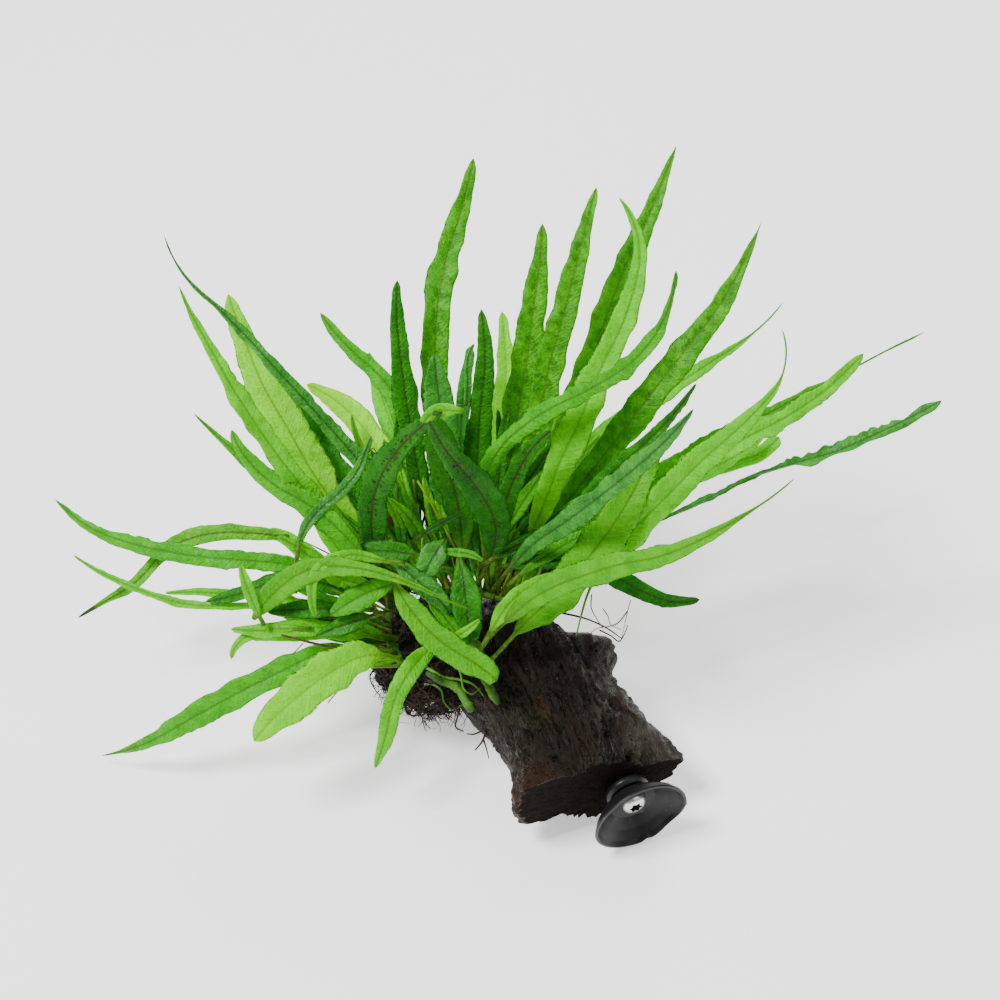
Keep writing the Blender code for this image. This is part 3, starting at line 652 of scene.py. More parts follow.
def wood_material(settings):
    """Near-black wet wood: grain along the stump, brown and red flecks, painted highlights on the ridges,
    painted shade in the grooves and a green film.
    """
    shader = Shader("wet driftwood")
    grain, _, _, _ = shader.field("grain")
    place = shader.place()
    groove = shader.number("groove")
    broad, fine = shader.noise(grain, 0.12, 4.0), shader.noise(grain, 0.7, 5.0)
    tint = shader.mix(broad.step(0.35, 0.7), settings.dark, settings.brown)
    tint = shader.mix(shader.noise(grain, 0.33, 4.0).step(0.58, 0.72) * 0.55, tint, settings.flecks)
    # Painted highlight: the raised ridges are painted paler grey, for the wet sheen that light gives them.
    tint = shader.mix(groove.step(0.1, 1.4) * fine.step(0.45, 0.7) * 0.4, tint, (0.036, 0.030, 0.024))
    # Painted shade: the sunk grooves, cracks and pits are painted near black.
    tint = shader.mix((0.0 - groove).step(0.2, 1.6) * 0.85, tint, (0.003, 0.0025, 0.002))
    film = shader.noise(place, 55.0, 3.0).step(0.55, 0.7) * shader.noise(place, 400.0, 2.0).step(0.4, 0.6)
    tint = shader.mix(film * 0.35, tint, (0.03, 0.055, 0.015))
    tint = shader.mix(shader.number("rust") * broad.step(0.3, 0.6) * 0.9, tint, (0.035, 0.011, 0.004))
    cut = shader.number("sawn")
    rough = 0.14 + shader.noise(grain, 0.5, 4.0).step(0.35, 0.65) * 0.56
    height = (fine + shader.noise(grain, 2.2, 5.0) * 1.4) * (1 - cut * 0.75)
    matte = ("BsdfDiffuse", (0.009, 0.0074, 0.006))
    shine = {"Specular IOR Level": 0.38, "Specular Tint": (1.0, 0.9, 0.74, 1.0)}
    return shader.finish(tint, rough, height, 1.9, shine, matte, cut * 0.9)


def rubber_material(colour):
    """Black rubber, with a faint unevenness in its gloss and paler specks."""
    shader = Shader("black rubber")
    place = shader.place()
    rough = 0.38 + (shader.noise(place, 260.0, 3.0) - 0.5) * 0.16
    specks = shader.noise(place, 900.0, 1.0).step(0.74, 0.78) * 0.7
    base = shader.mix(specks, colour, (0.12, 0.12, 0.12))
    return shader.finish(base, rough, shader.noise(place, 500.0, 2.0), 0.03, {"Specular IOR Level": 0.3})


def steel_material(colour):
    """Brushed steel, with painted shade in the recess: near black, rougher and not metallic."""
    shader = Shader("stainless steel")
    # Painted shade: the screw's recess is painted near black and matte, for the shade that fills it.
    recess = shader.number("recess").step(0.3, 0.9)
    rough = 0.26 + shader.noise(shader.place(), 700.0, 2.0) * 0.12 + recess * 0.4
    base = shader.mix(recess, colour, (0.006, 0.006, 0.006))
    return shader.finish(base, rough, sockets={"Metallic": 1 - recess})


def stem_material(name, first, second, scale=900.0):
    """Two colours in patches, with a rough skin."""
    shader = Shader(name)
    place = shader.place()
    patches = shader.noise(place, scale * 0.4, 4.0).step(0.42, 0.6)
    skin = shader.noise(place, scale, 3.0)
    base = shader.mix(patches, first, second)
    return shader.finish(base, 0.45 + skin * 0.25, skin, 0.15, {"Specular IOR Level": 0.3})


def turned(angle, side):
    """How far an angle is round from a side in degrees, from half a turn back to half a turn on."""
    return (angle - math.radians(side) + math.pi) % TURN - math.pi


def stump_radius(along, angle):
    """Distance from the heart to the bark: four half ellipses, the foot's own outline, ridges and a knob."""
    table = np.array(STUMP_SECTIONS)
    right, left, top, bottom = (np.interp(along, table[:, 0], table[:, i]) for i in range(1, 5))
    across = np.where(np.cos(angle) > 0, right, left)
    upward = np.where(np.sin(angle) > 0, top, bottom)
    radius = 1 / np.sqrt((np.cos(angle) / across) ** 2 + (np.sin(angle) / upward) ** 2)
    foot = np.interp(np.degrees(angle) % 360, *np.array(FOOT_OUTLINE).T)
    share = np.exp(-((along / FOOT_BLEND) ** 2))
    radius = radius * (1 - share) + foot * share
    turn = angle + along * BARK_TWIST
    ridges = sum(height * np.sin(waves * turn + start) for waves, height, start in BARK_RIDGES)
    ahead, aside = (along - KNOB_ALONG) / KNOB_LENGTH, turned(angle, KNOB_SIDE) / KNOB_SPREAD
    return radius * (1 + ridges) + KNOB_REACH * np.exp(-(ahead**2) - aside**2)


def bark_relief(along, angle):
    """Millimetres out of the smooth bark: sharp folds of noise along the grain, less cracks and pits."""
    cells, length, depth, seed = BARK_MEANDER
    meander = depth * (noise(angle / TURN * cells, along / length, cells, seed) - 0.5)
    relief = np.zeros_like(along)
    for cells, length, depth, seed in BARK_GRAIN:
        fold = noise((angle + meander + along * BARK_TWIST) / TURN * cells, along / length, cells, seed)
        relief += depth * (0.42 - np.abs(2 * fold - 1))
    radius = stump_radius(along, angle)
    for side, middle, width, length, depth, slant in CRACKS:
        offset = turned(angle - slant * (along - middle) / length, side) * radius + 0.8 * np.sin(along / 2.1)
        relief -= depth * np.exp(-((offset / width) ** 2) - ((along - middle) / length) ** 4)
    for side, middle, size, depth in PITS:
        offset = turned(angle, side) * radius
        relief -= depth * np.exp(-(((offset**2 + (along - middle) ** 2) / size**2) ** 2))
    return relief


def stump_surface():
    """Rings from the bottom of the screw's hole, over the sawn foot and along the bark to the broken end.

    On the foot a ring is a blend of the hole's circle and the bark's outline. Nothing goes under the floor.
    """
    angle = -np.linspace(0, TURN, STUMP_COLUMNS, endpoint=False)
    circle = SCREW_HOLE_RADIUS * (np.cos(angle)[:, None] * CUP_SIDE + np.sin(angle)[:, None] * CUP_UP)
    sunk = np.linspace(SCREW_HOLE_DEPTH, 0, STUMP_RINGS["hole"])[:, None, None]
    hole = FOOT_CENTRE + circle - sunk * CUP_AXIS
    along = np.linspace(0, 1, STUMP_RINGS["bark"]) ** 1.05 * STUMP_LENGTH
    along, angle = np.meshgrid(along, angle, indexing="ij")
    relief = bark_relief(along, angle) * np.clip((STUMP_LENGTH - along) / 12, 0.3, 1)
    cells, length, depth, seed = FOOT_CRUMBS
    crumbs = noise(angle / TURN * cells, along / length, cells, seed) - 0.5
    relief += depth * crumbs * np.exp(-along / CRUMB_REACH)
    radius = stump_radius(along, angle) + relief
    across, up = ((radius * turn)[..., None] for turn in (np.cos(angle), np.sin(angle)))
    bark = HEART - along[..., None] * CUP_AXIS + across * CUP_SIDE + up * CUP_UP
    share = np.linspace(0, 1, STUMP_RINGS["sawn"] + 1)[1:-1, None, None]
    sawn = (FOOT_CENTRE + circle) * (1 - share) + bark[0] * share
    rough = 0.0
    for wide, tall, depth, seed in SAW_MARKS:
        rough = rough + depth * (noise(sawn @ CUP_SIDE / wide, sawn @ CUP_UP / tall, SAW_CELLS, seed) - 0.5)
    sawn = sawn - (np.abs(rough) * np.sin(math.pi * share[..., 0]) ** 0.5)[..., None] * CUP_AXIS
    rings = np.concatenate([hole, sawn, bark])
    local = rings - HEART
    lobe = np.exp(-((along / 13) ** 2)) * (0.5 - 0.5 * np.cos(angle)) ** 3

    def numbers(inner, outer):
        """One number inside the bark's outline, then the bark's own."""
        return with_ends(np.concatenate([np.full((len(rings) - len(bark), STUMP_COLUMNS), inner), outer]))

    # The groove field is the bark's relief, which the wood material uses to paint highlights on ridges and
    # shade in grooves.
    fields = {"groove": numbers(0.0, relief), "sawn": numbers(1.0, 0.0 * relief), "rust": numbers(0.0, lobe)}
    fields["grain"] = field(local @ CUP_SIDE, local @ CUP_UP, local @ CUP_AXIS / 7)
    rings[..., 2] = np.maximum(rings[..., 2], 0.0)
    return capped_body(rings), fields


def on_cup_axis(radius, height, angle):
    """Points from a distance to the cup's axis, a height over the lip's plane and an angle round the axis."""
    out = np.cos(angle)[..., None] * CUP_SIDE + np.sin(angle)[..., None] * CUP_UP
    return CUP_LIP + height[..., None] * CUP_AXIS + radius[..., None] * out


def cup_surface():
    """The cup's section turned round its axis; its rim is pressed in on one side and dented below."""
    closed = np.array([*CUP_PROFILE, CUP_PROFILE[0]])
    lengths = np.concatenate([[0], np.cumsum(np.linalg.norm(np.diff(closed, axis=0), axis=1))])
    spots = np.unique(np.concatenate([np.linspace(0, lengths[-1], 90), lengths]))[:-1]
    angle = np.linspace(0, TURN, CUP_COLUMNS, endpoint=False)[:, None] + 0 * spots
    radius, height = (np.interp(spots, lengths, closed[:, i]) for i in range(2))
    reach = np.clip((radius - CUP_RIM[0]) / (CUP_RIM[1] - CUP_RIM[0]), 0, 1) ** 2
    for side, spread, depth in CUP_DENTS:
        radius = radius - reach * depth * np.exp(-(((angle - math.radians(side)) / spread) ** 2))
    height = height + reach * CUP_WAVE * (np.cos(2 * angle + 0.6) - 1)
    grid = np.arange(angle.size).reshape(angle.shape)
    after = np.roll(grid, -1, axis=1)
    quads = np.stack([grid, after, np.roll(after, -1, axis=0), np.roll(grid, -1, axis=0)], axis=-1)
    points = on_cup_axis(radius, height, angle).reshape(-1, 3)
    return points, quads.reshape(-1, 4), np.zeros((0, 3), int)


def screw_surface():
    """Rings from the recess's floor, up its six-lobed wall, over the head and down a threaded shank."""
    angle = np.linspace(0, TURN, SCREW_COLUMNS, endpoint=False)
    lobes = SCREW_LOBE_RADIUS + SCREW_LOBE_DEPTH * np.cos(SCREW_LOBES * angle)
    floor = SCREW_TOP - SCREW_SINK
    rings = [(lobes * share, floor) for share in (0.3, 0.7, 1.0)]
    rings += [(lobes, SCREW_TOP - SCREW_SINK * (1 - share)) for share in (0.02, 0.5, 0.95)]
    inside = len(rings)
    rings += [(lobes + 0.05, SCREW_TOP), *SCREW_HEAD]
    for height in np.linspace(-8.05, SCREW_TIP + 0.5, 110):
        core = SCREW_CORE * min(1.0, (height - SCREW_TIP) / 4)
        turn = (height / SCREW_PITCH - angle / TURN) % 1
        rings.append((core + 0.4 * core * np.clip(1 - 4 * np.abs(turn - 0.5), 0, 1), height))
    radius, height = (np.array([ring[i] + 0 * angle for ring in rings]) for i in range(2))
    # Marks the recess's rings, where the steel is painted with shade.
    recess = np.zeros_like(radius)
    recess[:inside] = 1.0
    return capped_body(on_cup_axis(radius, height, -angle + 0 * radius)), {"recess": with_ends(recess)}


def mat_surface():
    """A lumpy ellipsoid: a polar grid of directions times the mat's radii, lumps and fine noise."""
    rows, columns = MAT_GRID
    polar = np.linspace(0, math.pi, rows + 2)[1:-1, None]
    angle = np.linspace(0, TURN, columns, endpoint=False)[None]
    x, y, z = np.sin(polar) * np.cos(angle), np.sin(polar) * np.sin(angle), -np.cos(polar) + 0 * angle
    lumps = 1 + MAT_LUMPS * (np.sin(5 * x + 2 * y) + np.sin(6 * z - 3 * y + 1) + np.sin(7 * y + 3 * x))
    lumps = 0.92 * lumps
    for cells, down, height, middle, seed in MAT_NOISE:
        lumps = lumps + height * (noise(angle / TURN * cells, polar * down, cells, seed) - middle)
    return capped_body(MAT_CENTRE + np.stack([x, y, z], axis=-1) * MAT_RADII * lumps[..., None])


def root_fibres(count, longest, thickness, seed):
    """Many thin roots: each starts on the mat, creeps over it and then falls away from it in a curl."""
    rng = np.random.default_rng(seed)
    start = unit(rng.normal(size=(count, 3)) * [1.0, 1.0, 0.8] + [-0.15, -0.35, -0.2])
    drift = unit(np.cross(start, rng.normal(size=(count, 3))))
    length = longest * rng.uniform(0.35, 1.0, (count, 1))
    share = np.linspace(0, 1, FIBRE_STEPS)[None, :, None]
    creep = unit(start[:, None] + drift[:, None] * share * rng.uniform(0.2, 0.9, (count, 1, 1)))
    lift = 1.0 + share**2 * rng.uniform(-0.02, 0.22, (count, 1, 1))
    sway = np.sin(share * rng.uniform(5, 17, (count, 1, 3)) + rng.uniform(0, TURN, (count, 1, 3)))
    paths = MAT_CENTRE + creep * MAT_RADII * lift + sway * share * rng.uniform(0.5, 2.4, (count, 1, 1))
    share = share[..., 0]
    paths[..., 2] -= share**2 * length * rng.uniform(0, 0.6, (count, 1))
    paths[..., 2] = np.maximum(paths[..., 2], 0.3)
    return many_tubes(paths, rng.uniform(*thickness, (count, 1)) * (1 - 0.75 * share), 5)


def rhizome_surface(corners, seed):
    """A knobbly tube with blunt ends: its radius falls as the twelfth power of the way from its middle."""
    stations, sides = RHIZOME_GRID
    path = smooth_path(corners, stations) + np.array([0.0, 0.0, -0.6])
    share = np.linspace(-1, 1, stations)
    radius = RHIZOME_RADIUS * 0.78 * np.sqrt(np.clip(1 - 0.9 * share**12, 0.02, 1))
    rings = tube_rings(path, radius * (1 + 0.06 * np.sin(9 * share + 1)), sides)
    lumps = noise(np.arange(sides) / 3, share[:, None] * 14 + 20, 6, seed)
    return capped_body(path[:, None] + (rings - path[:, None]) * (1 + 0.3 * (lumps - 0.5))[..., None])


def heading(swing, lean):
    """Unit vectors for a swing in the fan's plane and a lean out of it to the front."""
    swing, lean = np.radians(swing), np.radians(lean)
    in_plane = np.outer(np.sin(swing), SIDE) + np.outer(np.cos(swing), UPRIGHT)
    return np.cos(lean)[:, None] * in_plane + np.outer(np.sin(lean), FRONT)


def in_fan(place):
    """A point from its place in the fan: to the right, up the plane and out to the front."""
    return FAN_CENTRE + np.asarray(place, float) @ np.array([SIDE, UPRIGHT, FRONT])


def leaf_foot(leaf, path):
    """The leaf's place in the fan, or just off the rhizome on the side that the leaf sets out from."""
    if isinstance(leaf.foot, tuple):
        return in_fan(leaf.foot)
    spot = leaf.foot * (len(path) - 1)
    index = min(int(spot), len(path) - 2)
    step = path[index + 1] - path[index]
    out, along = heading(leaf.swing[:1], leaf.lean[:1])[0], unit(step)
    out = unit(out - along * (out @ along) + np.array([0.0, 0.0, 0.4]))
    return path[index] + step * (spot - index) + out * (RHIZOME_RADIUS * 1.06 + PETIOLE_THICKNESS / 2 + 0.4)


def along_leaf(values, share):
    """The value at each share of the length, from values at equal steps."""
    return np.interp(share, np.linspace(0, 1, len(values)), values)


def half_width(leaf, share):
    """A narrow petiole, then a lance: a power of the blade's share times a power of what is left."""
    blade = np.clip((share * leaf.whole - leaf.bare) / (1 - leaf.bare), 0, 1)
    peak = LANCE_OPENING / (LANCE_OPENING + leaf.drawn)
    lance = blade**LANCE_OPENING * (1 - blade) ** leaf.drawn
    lance = lance / (peak**LANCE_OPENING * (1 - peak) ** leaf.drawn)
    wide = PETIOLE_WIDTH / 2 * (1 - 0.62 * share) + (leaf.width - PETIOLE_WIDTH * 0.6) / 2 * lance
    return wide * np.sqrt(np.clip((1 - share) / 0.03, 0.0004, 1))


def leaf_section():
    """Where each point of a ring lies across the blade, from margin to margin on top and back below."""
    half = np.linspace(0, 1, HALF_STEPS) ** 1.35
    top = np.concatenate([-half[::-1], half[1:]])
    return np.concatenate([top, top[-2:0:-1]]), np.concatenate([np.ones(len(top)), -np.ones(len(top) - 2)])


def leaf_surface(leaf, foot, settings, seed):
    """A closed blade round its midrib.

    The midrib is a sum of equal steps along the headings. A ring is spread sideways by the half width, made
    wavy at its margin, and lifted by a fold at the midrib, a ruffle that grows as the square of the distance
    across, and a bulge between each two veins. Long narrow leaves have wavier, ribbon-like margins.
    """
    rng = np.random.default_rng(seed)
    stations = int(np.clip(leaf.length / STATION_STEP, *STATIONS))
    share = np.linspace(0, 1, stations)
    middle = (share[1:] + share[:-1]) / 2
    sway = [settings.sway * wander(middle * leaf.length, 17.0, seed + i) for i in (7, 8)]
    course = heading(along_leaf(leaf.swing, middle) + sway[0], along_leaf(leaf.lean, middle) + 1.5 * sway[1])
    points = foot + np.vstack([np.zeros(3), np.cumsum(course * leaf.length / (stations - 1), axis=0)])
    points[0] -= unit(course[0]) * 2.0
    tangent = unit(np.gradient(points, axis=0))
    side = unit(np.cross(tangent, FRONT))
    normal = np.cross(side, tangent)
    share = share[:, None]
    along = share * leaf.length
    roll = np.radians(along_leaf(leaf.roll, share)) + settings.twist * wander(along, 26.0, seed + 1) * share
    side, normal = side * np.cos(roll) + normal * np.sin(roll), normal * np.cos(roll) - side * np.sin(roll)
    x, face = leaf_section()
    hand = np.sign(x)
    phase = rng.uniform(0, 50, 3)

    def margins(step, number, first):
        """Noise along the right margin, and other noise along the left one."""
        right, left = (wander(along + phase[first + i], step, seed + number + i) for i in (0, 1))
        return np.where(hand > 0, right, left)

    wide = half_width(leaf, share)
    blade = np.clip((share - leaf.bare) / 0.12, 0, 1)
    uneven = margins(MARGIN_STEP, 2, 0)
    crimp = np.sin(TURN * along / CRIMP_STEP + hand * phase[2] + 5 * uneven) * (0.7 + 0.6 * uneven)
    ribbon = np.clip((leaf.length / leaf.width - RIBBON_FROM) / RIBBON_RANGE, 0, 1) * share
    slow = 1 + 0.09 * wander(along + phase[0], 14.0, seed + 6)
    slow = slow + 0.3 * ribbon * wander(along + phase[1], 4.5, seed + 9)
    notch = hand * x**4 * crimp * (settings.crimp * np.clip(wide / 3, 0, 1) + 0.07 * ribbon * wide)
    spread = x * wide * slow * (1 + blade * settings.scallop * uneven) + blade * notch
    ruffle = margins(RUFFLE_STEP, 4, 1) * (1 + 1.6 * ribbon) + (0.2 + 0.4 * ribbon) * crimp
    ruffle = settings.ruffle * np.minimum(wide, 5.0) * x**2 * ruffle
    rise = (along - VEIN_SLANT * np.abs(spread)) / VEIN_STEP
    bulge = settings.quilt * np.abs(np.sin(math.pi * rise)) * 4 * np.abs(x) * (1 - np.abs(x))
    bulge = bulge * np.clip(wide / 4, 0, 1)
    fold = settings.fold * np.abs(spread) * rng.uniform(0.5, 1.5)
    thick = PETIOLE_THICKNESS + (settings.thickness - PETIOLE_THICKNESS) * np.clip(share / 0.35, 0, 1)
    shell = thick / 2 * np.sqrt(np.clip(1 - x**2, 0, 1))
    rib = 0.3 * np.exp(-((spread / 0.45) ** 2)) * np.clip(1.4 - 1.3 * share, 0.1, 1)
    rib = rib * np.where(face > 0, 0.5, 1.3)
    lift = (face * (shell + rib * blade) + blade * (ruffle + bulge + fold)) * np.clip(wide / 0.8, 0, 1)
    rings = points[:, None] + side[:, None] * spread[..., None] + normal[:, None] * lift[..., None]
    rings[..., 2] = np.maximum(rings[..., 2], LOWEST)
    stalk = 1 - np.clip((share - leaf.bare * 0.7) / max(leaf.bare * 0.9, 0.01), 0, 1)
    return capped_body(rings), {"blade": field(spread, along, seed * 7.3), "reach": field(x, share, stalk)}


# Single strands of each kind: the radius, and the course through the fan.
STRANDS = {
    "twig": (
        (0.42, ((22, -41, 2), (31, -43, 6), (38, -46, 9), (44, -50, 10))),
        (0.32, ((36, -47, 10), (40, -49, 11), (43, -51, 11), (45, -48, 12), (46, -45, 13))),
        (0.25, ((41, -23, 28), (43, -24, 29), (44, -23, 30))),
        (0.22, ((-70, -51, 25), (-74, -55, 25), (-78, -59, 25))),
        (0.6, ((-8, -74, 17), (-5, -80, 16), (-6, -86, 15), (-9, -90, 15))),
        (0.42, ((-5, -82, 16), (-9, -84, 16), (-12, -84, 16))),
        (0.36, ((-6, -86, 15), (-5, -89, 15), (-4, -93, 14))),
        (0.48, ((-18, -72, 20), (-15, -76, 19), (-16, -81, 18), (-13, -83, 18))),
        (0.3, ((-44, -60, 10), (-47, -64, 9), (-45, -69, 8), (-42, -72, 8))),
        (0.48, ((-33, -70, 12), (-34, -76, 10), (-31, -78, 10), (-28, -76, 11), (-28, -71, 13))),
        (0.2, ((-46, 16, 50), (-44, 18, 50), (-43, 16, 51), (-45, 14, 51), (-47, 15, 50))),
        (0.16, ((-47, 17, 51), (-44, 15, 52), (-41, 16, 50))),
    ),
    "straw": (
        (0.26, ((33, -34, 12), (33, -39, 10), (35, -43, 9), (37, -46, 8))),
        (0.22, ((37, -39, 12), (39, -42, 11), (40, -45, 9), (44, -47, 9))),
        (0.28, ((46, -40, 12), (43, -44, 11), (40, -45.5, 10), (35, -46.5, 9), (32, -49, 8))),
        (0.2, ((47, -36, 14), (46, -40, 13), (45, -45, 11), (44, -50, 10))),
    ),
    "stem": (
        (0.55, ((33, -31, 8), (31, -36, 9), (29, -43, 10), (27, -51, 12))),
        (
            0.5,
            ((-27, -66, 19), (-24, -66, 20), (-21, -68, 21), (-20, -72, 21), (-17, -75, 20), (-13, -73, 18)),
        ),
        (0.45, ((-16, -57, 24), (-14, -62, 25), (-13, -67, 26), (-10, -69, 26), (-7, -67, 25))),
        (0.6, ((-26, -60, 22), (-20, -63, 24), (-14, -64, 25), (-9, -66, 25), (-5, -71, 22))),
        (0.2, ((-46, 14, 50), (-48, 12, 49), (-50, 9, 48))),
    ),
}


def crown_spots(rng, count, rows):
    """Random places along the rows, each with its foot, its swing and its row's reach."""
    for row in rng.choice(rows, count):
        first, last, reach = CROWN_ROWS[row]
        share = rng.uniform(0.02, 0.98)
        foot = smooth_path(RHIZOMES[row], 101)[int(share * 100)] + rng.uniform(-1.5, 1.5, 3)
        yield foot, first + (last - first) * share, reach


def crown_fillers(count):
    """Short leaves and their feet at random spots along the rhizomes, fanned as their row is."""
    rng = np.random.default_rng(29)
    rows = ["back", "back", "middle", "middle", "right", "left", "left"]
    names = ["dark", "dark", "mid", "fresh", "shaded_blue_sheen", "fresh", "bright"]
    for foot, swing, reach in crown_spots(rng, count, rows):
        length = reach * rng.uniform(0.45, 1.0)
        width = rng.uniform(3.2, 7.0)
        swings = swing + np.cumsum(rng.normal(0, 9, 4))
        leans = rng.uniform(5, 55) * np.array([1.0, 0.7, 0.3])
        yield young(str(rng.choice(names)), 0, length, width, swings, leans, (rng.uniform(-30, 30),)), foot


def stalk_bundle(count, seed):
    """Thin stalks that leave the rhizomes like the fronds do and end among them."""
    rng = np.random.default_rng(seed)
    foot, swing, _ = zip(*crown_spots(rng, count, ["back", "back", "middle", "middle", "right", "left"]))
    out = heading(np.array(swing) + rng.normal(0, 9, count), rng.uniform(0, 45, count))
    share = np.linspace(0, 1, 10)[None, :, None]
    length = rng.uniform(14, 34, (count, 1, 1))
    bend = rng.normal(0, 0.16, (count, 1, 3)) * length * share**2
    radii = rng.uniform(0.35, 0.75, (count, 1)) * (1 - 0.45 * share[..., 0])
    return many_tubes(np.array(foot)[:, None] + out[:, None] * length * share + bend, radii, 6)


def colour(name, description, default):
    return FloatVectorProperty(name=name, description=description, default=default, subtype="COLOR")


def measure(name, description, default, low, high, **kind):
    return FloatProperty(name=name, description=description, default=default, min=low, max=high, **kind)


def tally(name, description, default, low, high):
    return IntProperty(name=name, description=description, default=default, min=low, max=high)


class WoodSettings(bpy.types.PropertyGroup):
    dark: colour("Dark wood", "Colour of the wet wood", (0.0016, 0.0012, 0.001))
    brown: colour("Brown wood", "Colour of its browner patches", (0.011, 0.0055, 0.0032))
    flecks: colour("Flecks", "Colour of the red flecks", (0.07, 0.022, 0.010))


class LeafSettings(bpy.types.PropertyGroup):
    thickness: measure("Thickness", "Blade thickness in millimetres", 0.34, 0.1, 1.0)
    sway: measure("Sway", "How far a midrib wanders off its course in degrees", 4.5, 0.0, 30.0)
    ruffle: measure("Ruffle", "How far the margins wave out of the blade", 0.26, 0.0, 1.0)
    crimp: measure("Crimp", "Depth of the margins' small notches in millimetres", 0.12, 0.0, 2.0)
    scallop: measure("Scallop", "How far the margins wave in the blade", 0.15, 0.0, 0.5)
    quilt: measure("Quilting", "Height of the bulges between veins in millimetres", 0.6, 0.0, 3.0)
    fold: measure("Fold", "How steeply the halves rise from the midrib", 0.16, -1.0, 1.0)
    twist: measure("Twist", "How far a blade turns about its midrib", 0.5, 0.0, 2.0, subtype="ANGLE")


class RootSettings(bpy.types.PropertyGroup):
    count: tally("Fibres", "Number of root fibres", 420, 10, 2000)
    length: measure("Length", "Longest fall of a fibre in millimetres", 14.0, 1.0, 40.0)


class CrownSettings(bpy.types.PropertyGroup):
    fillers: tally("Fillers", "Number of short leaves low in the crown", 75, 0, 300)
    stalks: tally("Stalks", "Number of leafless stalks", 130, 4, 600)


class HardwareSettings(bpy.types.PropertyGroup):
    rubber: colour("Rubber", "Colour of the suction cup", (0.008, 0.008, 0.009))
    steel: colour("Steel", "Colour of the screw", (0.66, 0.66, 0.64))


class StageSettings(bpy.types.PropertyGroup):
    lens: measure("Lens", "Focal length", 100.0, 20.0, 300.0, unit="CAMERA")
    distance: measure("Distance", "From the camera to the plant", 1.0135, 0.2, 5.0, unit="LENGTH")
    elevation: measure("Elevation", "Height over the horizon", math.radians(45), 0.0, 1.57, subtype="ANGLE")
    target: FloatVectorProperty(
        name="Target",
        description="Where the camera looks",
        default=(-0.0176, 0.058, 0.0655),
        subtype="XYZ",
        unit="LENGTH",
    )
    floor_glow: measure("Floor glow", "Light that the floor gives off", 0.7, 0.0, 5.0)
    sky: measure("Sky", "Strength of the light from all round", 0.32, 0.0, 5.0)


class FERN_OT_stump(bpy.types.Operator):
    """Build the driftwood stump"""

    bl_idname = "fern.stump"
    bl_label = "Driftwood stump"

    def execute(self, context):
        body, fields = stump_surface()
        add_piece("stump", body, wood_material(context.scene.fern_wood), "wood", ["driftwood"], fields, 50)
        return {"FINISHED"}


class FERN_OT_hardware(bpy.types.Operator):
    """Build the suction cup and its screw"""

    bl_idname = "fern.hardware"
    bl_label = "Suction cup and screw"

    def execute(self, context):
        settings = context.scene.fern_hardware
        rubber, steel = rubber_material(settings.rubber), steel_material(settings.steel)
        add_piece("cup", cup_surface(), rubber, "rubber", ["suction_cup"], None, 50)
        body, fields = screw_surface()
        add_piece("cup_screw", body, steel, "screw_steel", ["screw"], fields, 35)
        return {"FINISHED"}


class FERN_OT_roots(bpy.types.Operator):
    """Build the root mat and its fibres"""

    bl_idname = "fern.roots"
    bl_label = "Root mat"

    def execute(self, context):
        settings = context.scene.fern_roots
        mat = stem_material("root mat", (0.005, 0.0028, 0.0018), (0.020, 0.009, 0.004), 1500.0)
        fibre = stem_material("root fibre", (0.012, 0.006, 0.003), (0.05, 0.022, 0.008), 600.0)
        add_piece("root_cushion", mat_surface(), mat, "roots", ["root_mat"])
        fine = root_fibres(settings.count, settings.length, (0.14, 0.32), 7)
        add_piece("root_fibres", fine, fibre, "roots")
        coarse = root_fibres(settings.count // 2, settings.length, (0.3, 0.6), 8)
        add_piece("root_strands", coarse, mat, "roots")
        return {"FINISHED"}


class FERN_OT_rhizomes(bpy.types.Operator):
    """Build the creeping rhizomes"""

    bl_idname = "fern.rhizomes"
    bl_label = "Rhizomes"

    def execute(self, context):
        skin = stem_material("rhizome skin", (0.05, 0.17, 0.004), (0.02, 0.065, 0.003), 250.0)
        for seed, (row, corners) in enumerate(RHIZOMES.items(), RHIZOME_SEED):
            body = rhizome_surface(corners, seed)
            add_piece("creeping_stem_" + row, body, skin, "rhizome", ["rhizome_" + row])
        return {"FINISHED"}


class FERN_OT_fronds(bpy.types.Operator):
    """Build the fronds, row by row"""

    bl_idname = "fern.fronds"
    bl_label = "Fronds"

    def execute(self, context):
        finishes = {name: leaf_material(name, look) for name, look in LEAF_FINISHES.items()}
        seed = FROND_SEED
        for row, fronds in FRONDS.items():
            path = smooth_path(RHIZOMES[row], 40)
            for place, frond in enumerate(fronds, 1):
                seed += SEED_STEP
                body, fields = leaf_surface(frond, leaf_foot(frond, path), context.scene.fern_leaf, seed)
                label = f"{row}_{place:02d}"
                add_piece("leaf_" + label, body, finishes[frond.finish], "frond", ["frond_" + label], fields)
        return {"FINISHED"}


class FERN_OT_sprigs(bpy.types.Operator):
    """Build the young leaves: the listed ones, then fillers low in the crown"""

    bl_idname = "fern.sprigs"
    bl_label = "Young leaves"

    def execute(self, context):
        leaves = [(sprig, in_fan(sprig.foot)) for sprig in SPRIGS]
        leaves.extend(crown_fillers(context.scene.fern_crown.fillers))
        groups = {}
        for seed, (leaf, foot) in enumerate(leaves, SPRIG_SEED):
            groups.setdefault(leaf.finish, []).append(leaf_surface(leaf, foot, context.scene.fern_leaf, seed))
        for finish, parts in groups.items():
            bodies, fields = zip(*parts)
            fields = {key: np.concatenate([part[key] for part in fields]) for key in fields[0]}
            material = leaf_material(finish + ", young", LEAF_FINISHES[finish])
            add_piece("young_leaves_" + finish, merged(bodies), material, "frond", (), fields)
        return {"FINISHED"}


